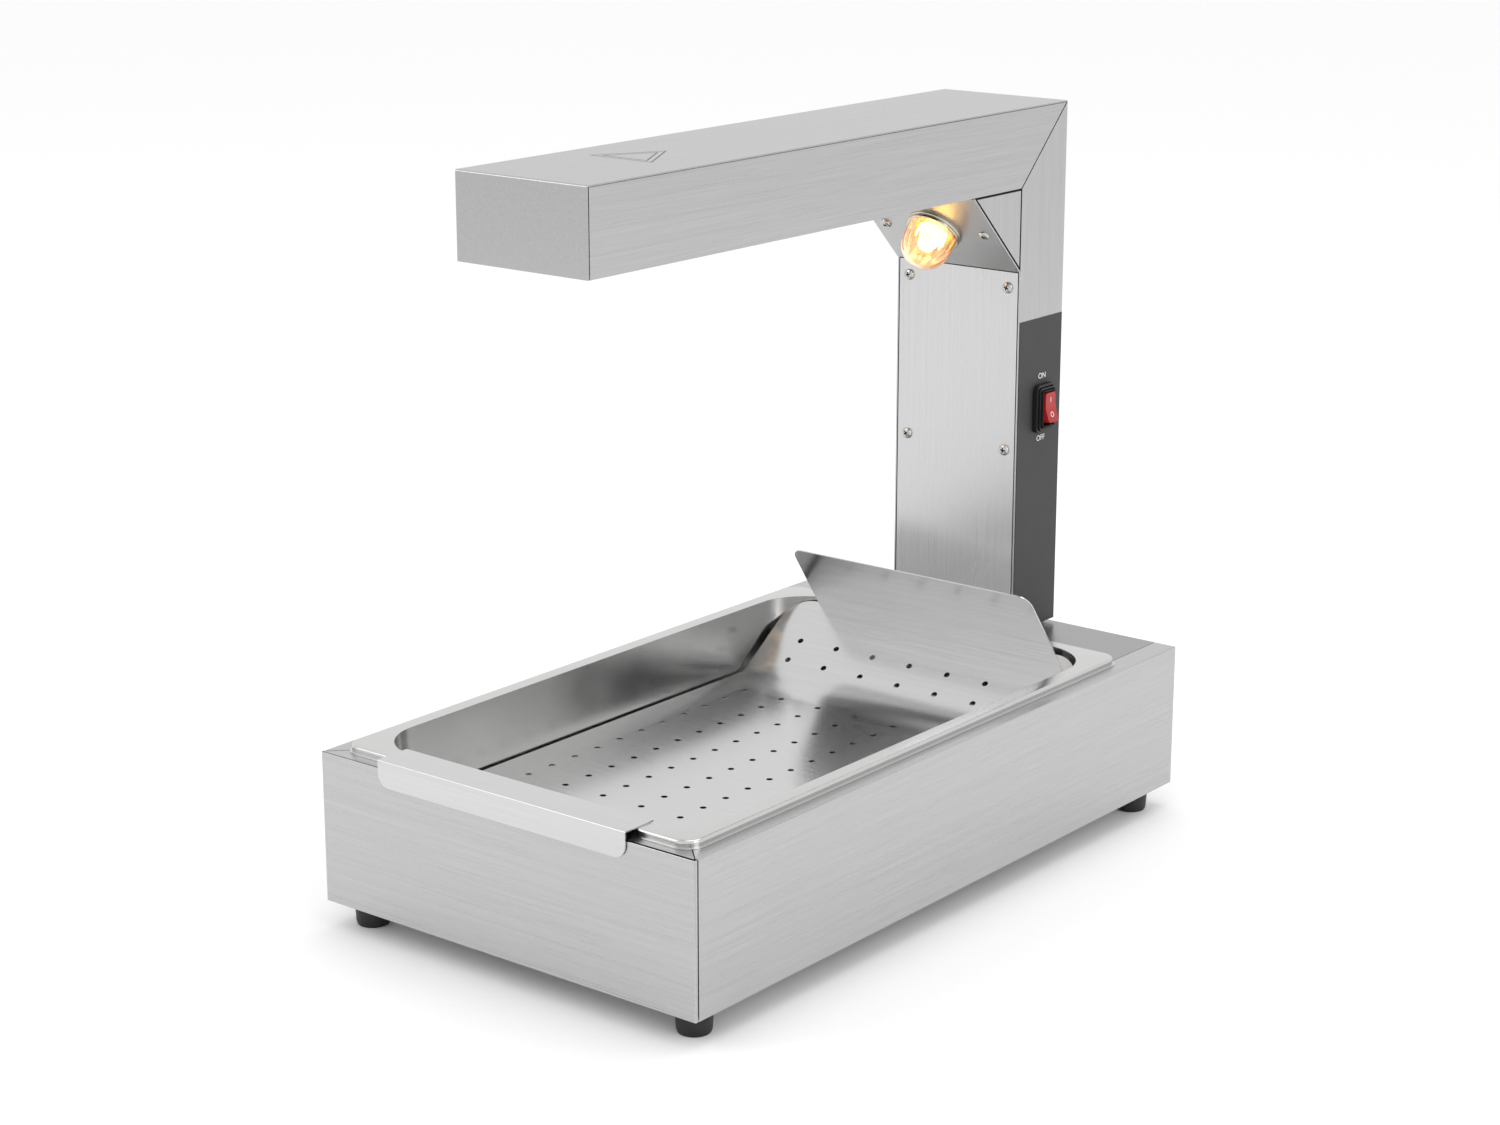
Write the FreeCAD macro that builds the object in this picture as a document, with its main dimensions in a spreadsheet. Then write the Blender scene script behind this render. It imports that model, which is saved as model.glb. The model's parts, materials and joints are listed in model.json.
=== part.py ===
import FreeCAD
import Part
import Sketcher
import math
import os
import re
from FreeCAD import Placement, Rotation, Vector

# Heat lamp warmer: a sheet-steel stand for one food pan, with a hollow column and arm
# that carry a quartz heater and a lamp over the food.
# Millimetres. X to the right, Y to the back, Z up, origin under the middle of the whole object.

doc = FreeCAD.newDocument("HeatLampWarmer")

# ---------------------------------------------------------------- driving sizes
sizes = {
    # stand
    "box_width": 350, "box_length": 605, "box_height": 115, "gauge": 1.0,
    "edge_flange": 19, "foot_flange": 30, "corner_return": 2.6, "seam": 1.0,
    "bend_radius": 1.5, "rear_return": 14, "deck_lip": 20,
    # feet
    "foot_height": 20, "foot_top_radius": 13.5, "foot_low_radius": 11.8,
    "foot_side_inset": 22, "foot_end_inset": 25, "foot_recess": 11,
    # pan and its perforated insert
    "pan_length": 530, "pan_width": 325, "pan_depth": 65, "pan_gauge": 0.8, "pan_flange": 12.5,
    "pan_setback": 10.5, "pan_rim": 6, "pan_lip": 1.5, "pan_corner": 14, "pan_well_corner": 45,
    "pan_draft": 3, "pan_floor_round": 12, "pan_edge_round": 2.2,
    "insert_gauge": 1.0, "hook_width": 232, "drop_width": 194, "hook_strip": 28, "apron_height": 20,
    "apron_gap": 0.5, "insert_lift": 12, "insert_side_gap": 6, "ramp_angle": 35.4,
    "ramp_setback": 23.5, "ramp_corner": 24, "flap_width": 236, "flap_height": 68, "flap_corner": 10,
    "drain_radius": 2.5, "drain_pitch": 37, "drain_row_pitch": 26, "ramp_row_pitch": 21,
    # column and arm
    "tube_width": 118, "tube_depth": 62.5, "shell_gauge": 1.2, "column_gap": 3.5,
    "column_play": 0.5,
    "arm_clearance": 365.5, "arm_setback": 34, "arm_flange": 14, "plate_gauge": 1.2,
    "plate_gap": 0.9, "lamp_corner": 67, "cheek_gap": 1.6, "gusset_gauge": 1.5,
    "cover_gap": 0.8, "mitre_gap": 1.1, "bracket_rise": 34, "bracket_gauge": 2,
    # lamp
    "lens_radius": 20.5, "lens_height": 35, "lens_wall": 2.2, "lens_skirt_radius": 17.2,
    "ring_height": 5, "ring_radius": 22.5, "holder_depth": 34, "bulb_radius": 11,
    "bulb_cap_radius": 6.8, "thread_gap": 0.4,
    # heater
    "tube_radius": 5.5, "tube_wall": 1.0, "tube_spacing": 28, "heater_inset": 46,
    "heater_gap": 62, "coil_radius": 3.4, "reflector_height": 36, "reflector_gauge": 0.8,
    "guard_wire": 1.5, "guard_rib": 1.0, "guard_pitch": 24,
    "block_side": 11, "block_under": 9, "block_length": 14, "block_hold": 4,
    # switch
    "switch_drop": 180, "switch_width": 17, "switch_tall": 30, "boot_margin": 4.5,
    "boot_height": 9, "rocker_reach": 9.3, "rocker_pivot": 2, "switch_depth": 24, "rocker_tilt": 9,
    "overlay_top": 259, "overlay_gauge": 0.4, "pivot_pin": 1.0, "pivot_play": 0.15,
    # cable entry, wiring and fasteners
    "gland_rise": 32, "gland_bore": 4.0, "gland_thread": 8, "gland_reach": 16,
    "wire_radius": 1.1, "wire_bend": 8, "block_rise": 80, "block_height": 22, "block_depth": 20,
    "screw_radius": 1.7, "screw_head": 4.6, "bolt_radius": 2.5, "bolt_head": 4.4,
}
sheet = doc.addObject("Spreadsheet::Sheet", "Sizes")
for row, (alias, value) in enumerate(sizes.items(), 1):
    sheet.set(f"A{row}", alias)
    sheet.set(f"B{row}", str(value))
    sheet.setAlias(f"B{row}", alias)

# ---------------------------------------------------------------- places worked out from the sizes
places = doc.addObject("App::VarSet", "Places")
known = {}


def bound(text):
    """An expression in plain words, with each word pointed at its cell or place."""
    def full(match):
        word = match.group(0)
        if word in sizes:
            return "Sizes." + word
        return "Places." + word if word in known else word
    return re.sub(r"[a-z][a-z_]+[a-z]", full, str(text))


def place(name, text):
    places.addProperty("App::PropertyFloat", name, "Places")
    places.setExpression(name, bound(text))
    known[name] = text


place("apron_face", "apron_gap + insert_gauge")
place("stand_length", "max(box_length; pan_setback + pan_length + pan_lip + column_play + tube_depth)")
place("front", "-(stand_length + gland_reach - apron_face) / 2")
place("rear", "front + stand_length")
place("half_box", "box_width / 2")
place("low", "foot_height")
place("top", "foot_height + box_height")
place("flange_edge", "half_box - edge_flange")
place("pan_front", "front + pan_setback")
place("pan_rear", "pan_front + pan_length")
place("half_pan", "pan_width / 2")
place("well_front", "pan_front + pan_flange")
place("well_rear", "pan_rear - pan_flange")
place("half_well", "half_pan - pan_flange")
place("rim_top", "top + pan_rim")
place("pan_floor", "rim_top - pan_depth + pan_gauge")
place("insert_floor", "pan_floor + insert_lift")
place("strip_under", "rim_top")
place("hook_back", "front + hook_strip")
place("fold_back", "pan_rear - ramp_setback")
place("fold_height", "top + 2")
place("ramp_rise", "fold_height - insert_floor")
place("ramp_run", "ramp_rise / tan(ramp_angle)")
place("ramp_length", "ramp_rise / sin(ramp_angle)")
place("ramp_foot", "fold_back - ramp_run")
place("half_floor", "half_well - insert_side_gap")
place("half_tube", "tube_width / 2")
place("half_inside", "half_tube - shell_gauge")
place("column_front", "rear - tube_depth")
place("column_low", "top + column_gap")
place("arm_low", "top + arm_clearance")
place("arm_top", "arm_low + tube_depth")
place("arm_front", "front + arm_setback")
place("corner_front", "column_front - lamp_corner")
place("corner_low", "arm_low - lamp_corner")
place("lamp_mid_back", "column_front - lamp_corner / 2")
place("lamp_mid_height", "arm_low - lamp_corner / 2")
place("half_slant", "lamp_corner * sqrt(2) / 2")
place("plate_step", "plate_gauge * sqrt(2)")
place("switch_height", "arm_low - switch_drop")
place("switch_back", "rear - tube_depth / 2 + 3")
place("block_low", "column_low + block_rise")
place("block_top", "block_low + block_height")
place("wire_back", "rear - shell_gauge - block_depth / 2")
place("gland_height", "column_low + gland_rise")
place("reflector_top", "arm_low + shell_gauge + reflector_height")
place("heater_front", "arm_front + heater_inset")
place("heater_rear", "corner_front - heater_gap")
place("heater_height", "arm_low + 22")
doc.recompute()


def size(name):
    """The present value of a size or a place, in millimetres."""
    if name in known:
        return getattr(places, name)
    return float(sheet.get(name))


# ---------------------------------------------------------------- ways of making pieces
parts = {}


def keep(name, thing):
    """Name an object as one sub-part of the warmer."""
    thing.Label = name
    parts[name] = thing
    return thing


def new_body(name, kept=True):
    body = doc.addObject("PartDesign::Body", name)
    if kept:
        keep(name, body)
    return body


def origin_plane(body, role):
    return next(feature for feature in body.Origin.OriginFeatures if feature.Role == role)


def sketch(body, role, outline=(), circles=(), offset="0", shift=None, tilt=None):
    """A sketch on an origin plane: corner points and circles, each bound to its sizes."""
    drawing = body.newObject("Sketcher::SketchObject", "Sketch")
    drawing.AttachmentSupport = [(origin_plane(body, role), "")]
    drawing.MapMode = "FlatFace"
    if tilt:
        drawing.AttachmentOffset = Placement(Vector(), Rotation(Vector(1, 0, 0), tilt))
    drawing.setExpression("AttachmentOffset.Base.z", bound(offset))
    if shift:
        drawing.setExpression("AttachmentOffset.Base.y", bound(shift))
    count = len(outline)
    ring = [Vector(30 * math.cos(k * math.tau / count), 30 * math.sin(k * math.tau / count), 0)
            for k in range(count)]
    for k in range(count):
        drawing.addGeometry(Part.LineSegment(ring[k], ring[(k + 1) % count]), False)
    for k in range(count):
        drawing.addConstraint(Sketcher.Constraint("Coincident", k, 2, (k + 1) % count, 1))
    for k, (across, along) in enumerate(outline):
        fix_point(drawing, k, 1, ring[k], across, along)
    for across, along, radius in circles:
        shape = Part.Circle(Vector(0, 0, 0), Vector(0, 0, 1), 2)
        index = drawing.addGeometry(shape, False)
        fix_point(drawing, index, 3, Vector(0, 0, 0), across, along)
        number = drawing.addConstraint(Sketcher.Constraint("Radius", index, 2))
        drawing.renameConstraint(number, f"radius{index}")
        drawing.setExpression(f"Constraints.radius{index}", bound(radius))
    return drawing


def fix_point(drawing, index, end, start, across, along):
    """Tie one point of a sketch to two expressions."""
    for kind, text, value in (("DistanceX", across, start.x), ("DistanceY", along, start.y)):
        number = drawing.addConstraint(Sketcher.Constraint(kind, -1, 1, index, end, value))
        label = f"{kind}{index}"
        drawing.renameConstraint(number, label)
        drawing.setExpression(f"Constraints.{label}", bound(text))


def pad(body, drawing, length, middle=False, back=False):
    feature = body.newObject("PartDesign::Pad", "Pad")
    feature.Profile = drawing
    feature.setExpression("Length", bound(length))
    if middle:
        feature.SideType = "Symmetric"
    feature.Reversed = back
    return feature


def pocket(body, drawing, length=None, back=False, middle=False):
    """A cut from the sketch, a set length or right through both ways."""
    feature = body.newObject("PartDesign::Pocket", "Pocket")
    feature.Profile = drawing
    if length is None:
        feature.Type = "ThroughAll"
        feature.SideType = "Symmetric"
    else:
        feature.setExpression("Length", bound(length))
        if middle:
            feature.SideType = "Symmetric"
    feature.Reversed = back
    return feature


def turned(body, outline, axis="Z_Axis", role="XZ_Plane"):
    """A turned piece: a half outline in radius and height, revolved about an axis."""
    feature = body.newObject("PartDesign::Revolution", "Revolution")
    feature.Profile = sketch(body, role, outline)
    feature.ReferenceAxis = (origin_plane(body, axis), [""])
    feature.Angle = 360
    return feature


def round_edges(body, radius, chosen):
    """Round the edges of the body's tip that the test chooses."""
    doc.recompute()
    tip = body.Tip
    names = [f"Edge{n}" for n, edge in enumerate(tip.Shape.Edges, 1) if chosen(edge)]
    if not names:
        raise RuntimeError("no edge to round on " + body.Label)
    feature = body.newObject("PartDesign::Fillet", "Fillet")
    feature.Base = (tip, names)
    feature.setExpression("Radius", bound(radius))
    return feature


def runs_along(edge, axis):
    """True for a straight edge parallel to an axis."""
    if len(edge.Vertexes) != 2 or edge.Curve.TypeId != "Part::GeomLine":
        return False
    span = edge.Vertexes[1].Point - edge.Vertexes[0].Point
    return abs(span.dot(axis)) > 0.999 * span.Length


X, Y, Z = Vector(1, 0, 0), Vector(0, 1, 0), Vector(0, 0, 1)


def near(value, target):
    return abs(value - target) < 0.05


def put(thing, x="0", y="0", z="0", turn=None):
    """Place an object by expressions, after an optional turn."""
    if turn:
        thing.Placement = Placement(Vector(), turn)
    for axis, text in (("x", x), ("y", y), ("z", z)):
        thing.setExpression("Placement.Base." + axis, bound(text))
    return thing


def row_of(body, feature, axis, spacing, count):
    """Repeat a feature along an axis of its body."""
    pattern = body.newObject("PartDesign::LinearPattern", "LinearPattern")
    pattern.Originals = [feature]
    pattern.Direction = (origin_plane(body, axis), [""])
    pattern.Mode = "Spacing"
    pattern.setExpression("Offset", bound(spacing))
    pattern.Occurrences = count
    body.Tip = pattern
    return pattern


def group(name, template, spots, turn=None):
    """Identical pieces that share one node: copies of a template, each at its own place."""
    links = []
    for x, y, z in spots:
        link = doc.addObject("App::Link", name + "_copy")
        link.LinkedObject = template
        put(link, x, y, z, turn)
        links.append(link)
    cluster = doc.addObject("Part::Compound", name)
    cluster.Links = links
    return keep(name, cluster)


def plate(name, x, y, z, length, width, height):
    """A plain rectangular piece by its low corner and its sides."""
    box = doc.addObject("Part::Box", name)
    for side, text in (("Length", length), ("Width", width), ("Height", height)):
        box.setExpression(side, bound(text))
    return keep(name, put(box, x, y, z))


def screw(name, shank_radius, shank_length, head_radius, head_height):
    """A domed screw standing on Z: head above the origin, shank below it."""
    body = new_body(name, kept=False)
    turned(body, [("0", f"-({shank_length})"), (shank_radius, f"-({shank_length})"),
                  (shank_radius, "0"), (head_radius, "0"), (head_radius, f"{head_height} * 0.45"),
                  (f"{head_radius} * 0.62", head_height), ("0", head_height)])
    return body


def hexagon(name, across, height, bore=None):
    """A hexagonal head or nut standing on Z from the origin up."""
    body = new_body(name, kept=False)
    corners = [(f"({across}) * {math.cos(k * math.tau / 6):.6f} / {math.cos(math.tau / 12):.6f}",
                f"({across}) * {math.sin(k * math.tau / 6):.6f} / {math.cos(math.tau / 12):.6f}")
               for k in range(6)]
    pad(body, sketch(body, "XY_Plane", corners), height)
    if bore:
        pocket(body, sketch(body, "XY_Plane", circles=[("0", "0", bore)]))
    return body


TO_FRONT = Rotation(X, 90)
TO_BACK = Rotation(X, -90)
LAMP_TURN = Rotation(X, 135)


def mirrored_text(text, side):
    return text if side > 0 else f"-({text})"


def sided(points, side):
    """Outline points on the right side, or their mirror on the left."""
    listed = [(mirrored_text(x, side), y) for x, y in points]
    return listed if side > 0 else listed[::-1]


# ---------------------------------------------------------------- stand
def make_front_panel():
    body = new_body("front_panel")
    wall = [("-half_box", "front + corner_return"), ("-half_box", "front"), ("half_box", "front"),
            ("half_box", "front + corner_return"), ("half_box - gauge", "front + corner_return"),
            ("half_box - gauge", "front + gauge"), ("-half_box + gauge", "front + gauge"),
            ("-half_box + gauge", "front + corner_return")]
    pad(body, sketch(body, "XY_Plane", wall, offset="low"), "box_height")
    flange = [("-half_box", "front"), ("half_box", "front"), ("flange_edge", "front + edge_flange"),
              ("-flange_edge", "front + edge_flange")]
    pad(body, sketch(body, "XY_Plane", flange, offset="top - gauge"), "gauge")
    foot = [("-half_box + foot_flange + seam", "front"), ("half_box - foot_flange - seam", "front"),
            ("half_box - foot_flange - seam", "front + foot_flange"),
            ("-half_box + foot_flange + seam", "front + foot_flange")]
    pad(body, sketch(body, "XY_Plane", foot, offset="low"), "gauge")
    edge_x, edge_y, edge_z = size("half_box"), size("front"), size("top")
    round_edges(body, "bend_radius * 0.6", lambda edge: near(edge.CenterOfMass.y, edge_y) and (
        (runs_along(edge, Z) and near(abs(edge.CenterOfMass.x), edge_x))
        or (runs_along(edge, X) and near(edge.CenterOfMass.z, edge_z))))


def make_side_panel(name, side):
    body = new_body(name)
    start = "front + corner_return + seam"
    wall = [("half_box - gauge", start), ("half_box", start), ("half_box", "rear"),
            ("half_box - gauge", "rear")]
    pad(body, sketch(body, "XY_Plane", sided(wall, side), offset="low"), "box_height")
    flange = [("half_box", start), ("half_box - corner_return", start),
              ("flange_edge", "front + edge_flange + seam"), ("flange_edge", "rear"),
              ("half_box", "rear")]
    pad(body, sketch(body, "XY_Plane", sided(flange, side), offset="top - gauge"), "gauge")
    foot = [("half_box", start), ("half_box - foot_flange", start),
            ("half_box - foot_flange", "rear - gauge - seam"), ("half_box", "rear - gauge - seam")]
    pad(body, sketch(body, "XY_Plane", sided(foot, side), offset="low"), "gauge")
    back = [("half_box - rear_return", "rear - 2 * gauge"), ("half_box", "rear - 2 * gauge"),
            ("half_box", "rear - gauge"), ("half_box - rear_return", "rear - gauge")]
    pad(body, sketch(body, "XY_Plane", sided(back, side), offset="low"), "box_height")
    holes = [(mirrored_text("half_box - rear_return / 2 - 1", side), height, "screw_radius")
             for height in ("low + 18", "top - 28")]
    pocket(body, sketch(body, "XZ_Plane", circles=holes, offset="-rear"), "5 * gauge", back=True)
    edge_x, edge_z = size("half_box"), size("top")
    round_edges(body, "bend_radius * 0.6", lambda edge: runs_along(edge, Y)
                and near(abs(edge.CenterOfMass.x), edge_x) and near(edge.CenterOfMass.z, edge_z))


def make_stand():
    make_front_panel()
    for name, side in (("left_side_panel", -1), ("right_side_panel", 1)):
        make_side_panel(name, side)
    rear = new_body("rear_panel")
    half = "half_box - gauge - seam / 2"
    outline = [(f"-({half})", "low + gauge"), (half, "low + gauge"),
               (half, "top - gauge - seam / 2"), (f"-({half})", "top - gauge - seam / 2")]
    pad(rear, sketch(rear, "XZ_Plane", outline, offset="-rear"), "gauge")
    holes = [(f"{sign}(half_box - rear_return / 2 - 1)", height, "screw_radius + 0.4")
             for sign in ("", "-") for height in ("low + 18", "top - 28")]
    pocket(rear, sketch(rear, "XZ_Plane", circles=holes))

    deck = new_body("rear_deck")
    half = "flange_edge - seam / 2"
    outline = [(f"-({half})", "well_rear + 4"), (half, "well_rear + 4"), (half, "rear"),
               (f"-({half})", "rear")]
    pad(deck, sketch(deck, "XY_Plane", outline, offset="top - gauge"), "gauge")
    pocket(deck, sketch(deck, "XY_Plane", circles=column_bolt_holes("bolt_radius + 0.3")))

    under = new_body("deck_stiffener")
    half = "half_box - gauge - 0.2"
    profile = [("well_rear + 5", "top - gauge - deck_lip"), ("well_rear + 6.5", "top - gauge - deck_lip"),
               ("well_rear + 6.5", "top - gauge - 1.5"), ("rear - 2 * gauge - 2.1", "top - gauge - 1.5"),
               ("rear - 2 * gauge - 2.1", "top - gauge - deck_lip"),
               ("rear - 2 * gauge - 0.6", "top - gauge - deck_lip"),
               ("rear - 2 * gauge - 0.6", "top - gauge"), ("well_rear + 5", "top - gauge")]
    pad(under, sketch(under, "YZ_Plane", profile), f"2 * ({half})", middle=True)
    pocket(under, sketch(under, "XY_Plane", circles=column_bolt_holes("bolt_radius + 0.3")))

    base = new_body("base_plate")
    half = "half_box - gauge - 0.5"
    outline = [(f"-({half})", "front + corner_return + seam"), (half, "front + corner_return + seam"),
               (half, "rear - 2 * gauge - 0.5"), (f"-({half})", "rear - 2 * gauge - 0.5")]
    pad(base, sketch(base, "XY_Plane", outline, offset="low + gauge"), "gauge")
    spots = foot_spots() + base_screw_spots()
    holes = [(x, y, "screw_radius") for x, y in spots]
    pocket(base, sketch(base, "XY_Plane", circles=holes))
    for name, side in (("left_side_panel", -1), ("right_side_panel", 1)):
        panel = parts[name]
        own = [(x, y, "screw_radius + 0.3") for x, y in spots if x.startswith("-") == (side < 0)]
        pocket(panel, sketch(panel, "XY_Plane", circles=own, offset="low - 1"), "gauge + 1.5", back=True)

    for name, side in (("left_corner_angle", -1), ("right_corner_angle", 1)):
        angle = new_body(name)
        across, along = "half_box - gauge", "front + gauge"
        outline = [(f"{across} - 12", along), (across, along), (across, f"{along} + 14"),
                   (f"{across} - 1.2", f"{along} + 14"), (f"{across} - 1.2", f"{along} + 1.2"),
                   (f"{across} - 12", f"{along} + 1.2")]
        pad(angle, sketch(angle, "XY_Plane", sided(outline, side), offset="low + 2 * gauge"),
            "box_height - 3 * gauge")


def foot_spots():
    return [(f"{sign}(half_box - foot_side_inset)", y) for sign in ("-", "")
            for y in ("front + foot_end_inset", "rear - foot_end_inset")]


def base_screw_spots():
    return [(f"{sign}(half_box - foot_flange / 2)", y) for sign in ("-", "")
            for y in ("front + stand_length * 0.3", "front + stand_length * 0.7")]


def column_bolt_holes(radius):
    return [(f"{sign}(half_inside - 18)", y, radius) for sign in ("", "-")
            for y in ("column_front + 16", "rear - 14")]


def make_feet():
    names = ("front_left_foot", "rear_left_foot", "front_right_foot", "rear_right_foot")
    for name, (x, y) in zip(names, foot_spots()):
        foot = new_body(name)
        turned(foot, [("screw_radius + 0.4", "foot_height"), ("foot_top_radius", "foot_height"),
                      ("foot_top_radius", "foot_height - 3"), ("foot_low_radius + 0.8", "3"),
                      ("foot_low_radius", "0"), ("6", "0"), ("6", "foot_recess"),
                      ("screw_radius + 0.4", "foot_recess")])
        put(foot, x, y)
    template = screw("foot_screw", "screw_radius - 0.1", "foot_height - foot_recess + 5", "4.6", "2.4")
    group("foot_screws", template, [(x, y, "foot_recess") for x, y in foot_spots()], Rotation(X, 180))
    short = screw("base_screw", "screw_radius - 0.1", "2 * gauge + 4", "3.6", "2.0")
    group("base_screws", short, [(x, y, "low") for x, y in base_screw_spots()], Rotation(X, 180))
    rear = screw("rear_screw", "screw_radius - 0.1", "2 * gauge + 4", "3.6", "2.0")
    spots = [(f"{sign}(half_box - rear_return / 2 - 1)", "rear", z) for sign in ("", "-")
             for z in ("low + 18", "top - 28")]
    group("rear_panel_screws", rear, spots, TO_BACK)


# ---------------------------------------------------------------- column
def make_column():
    shell = new_body("column_shell")
    outline = [("-half_tube", "column_front"), ("-half_inside", "column_front"),
               ("-half_inside", "rear - shell_gauge"), ("half_inside", "rear - shell_gauge"),
               ("half_inside", "column_front"), ("half_tube", "column_front"), ("half_tube", "rear"),
               ("-half_tube", "rear")]
    pad(shell, sketch(shell, "XY_Plane", outline, offset="column_low"), "arm_top - column_low")
    edge_x, edge_y = size("half_tube"), size("rear")
    round_edges(shell, "bend_radius", lambda edge: runs_along(edge, Z)
                and near(abs(edge.CenterOfMass.x), edge_x) and near(edge.CenterOfMass.y, edge_y))
    above = [("column_front - 20", "arm_low - 20 - 0.2"), ("rear + 20", "arm_top + 20 - 0.2"),
             ("column_front - 20", "arm_top + 20")]
    pocket(shell, sketch(shell, "YZ_Plane", above))
    window = [("switch_back - switch_width / 2", "switch_height - switch_tall / 2"),
              ("switch_back + switch_width / 2", "switch_height - switch_tall / 2"),
              ("switch_back + switch_width / 2", "switch_height + switch_tall / 2"),
              ("switch_back - switch_width / 2", "switch_height + switch_tall / 2")]
    pocket(shell, sketch(shell, "YZ_Plane", window, offset="half_inside - 2"), "10", back=True)
    entry = [("0", "gland_height", "gland_thread + 0.1")]
    pocket(shell, sketch(shell, "XZ_Plane", circles=entry, offset="-rear + shell_gauge + 2"), "20")

    front = new_body("column_front_plate")
    half = "half_inside - plate_gap"
    outline = [(f"-({half})", "column_low"), (half, "column_low"), (half, "corner_low"),
               (f"-({half})", "corner_low")]
    pad(front, sketch(front, "XZ_Plane", outline, offset="-column_front"), "plate_gauge", back=True)
    holes = [(x, z, "screw_radius + 0.4") for x, z in column_screw_spots()]
    pocket(front, sketch(front, "XZ_Plane", circles=holes))
    for name, side in (("left_plate_strip", -1), ("right_plate_strip", 1)):
        strip = new_body(name)
        outline = [("half_inside", "column_front + plate_gauge"), ("half_inside", "column_front + 16"),
                   ("half_inside - 1.2", "column_front + 16"),
                   ("half_inside - 1.2", "column_front + plate_gauge + 1.2"),
                   ("half_inside - 15", "column_front + plate_gauge + 1.2"),
                   ("half_inside - 15", "column_front + plate_gauge")]
        pad(strip, sketch(strip, "XY_Plane", sided(outline, side), offset="column_low + 44"),
            "corner_low - column_low - 52")
        own = [(x, z, "screw_radius") for x, z in column_screw_spots() if x.startswith("-") == (side < 0)]
        pocket(strip, sketch(strip, "XZ_Plane", circles=own))
    template = screw("column_screw", "screw_radius - 0.1", "plate_gauge + 5", "screw_head", "2.6")
    group("column_plate_screws", template, [(x, "column_front", z) for x, z in column_screw_spots()],
          TO_FRONT)

    spacer = new_body("column_spacer")
    half = "half_inside - 5"
    outline = [(f"-({half})", "column_front + 8"), (half, "column_front + 8"), (half, "rear - 5"),
               (f"-({half})", "rear - 5")]
    pad(spacer, sketch(spacer, "XY_Plane", outline, offset="top"), "column_gap")
    pocket(spacer, sketch(spacer, "XY_Plane", circles=column_bolt_holes("bolt_radius + 0.3")))
    bracket = new_body("column_bracket")
    tip, foot = "column_low + bracket_rise", "column_low + bracket_gauge"
    profile = [("-half_inside", "column_low"), ("half_inside", "column_low"), ("half_inside", tip),
               ("half_inside - bracket_gauge", tip), ("half_inside - bracket_gauge", foot),
               ("-half_inside + bracket_gauge", foot), ("-half_inside + bracket_gauge", tip),
               ("-half_inside", tip)]
    pad(bracket, sketch(bracket, "XZ_Plane", profile, offset="-column_front - 4"),
        "tube_depth - shell_gauge - 6", back=True)
    pocket(bracket, sketch(bracket, "XY_Plane", circles=column_bolt_holes("bolt_radius + 0.3")))
    bolt = screw("column_bolt", "bolt_radius", "column_gap + gauge + 10", "bolt_head", "3.5")
    spots = [(x, y, "column_low + 2") for x, y, radius in column_bolt_holes("0")]
    group("column_bolts", bolt, spots)
    nut = hexagon("column_nut", "bolt_head", "3.8", "bolt_radius + 0.1")
    spots = [(x, y, "top - gauge - 1.5 - 3.8") for x, y, radius in column_bolt_holes("0")]
    group("column_nuts", nut, spots)


def column_screw_spots():
    return [(f"{sign}(half_tube - 11.5)", z) for sign in ("-", "")
            for z in ("corner_low - 12.5", "corner_low - 143.5")]


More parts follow.
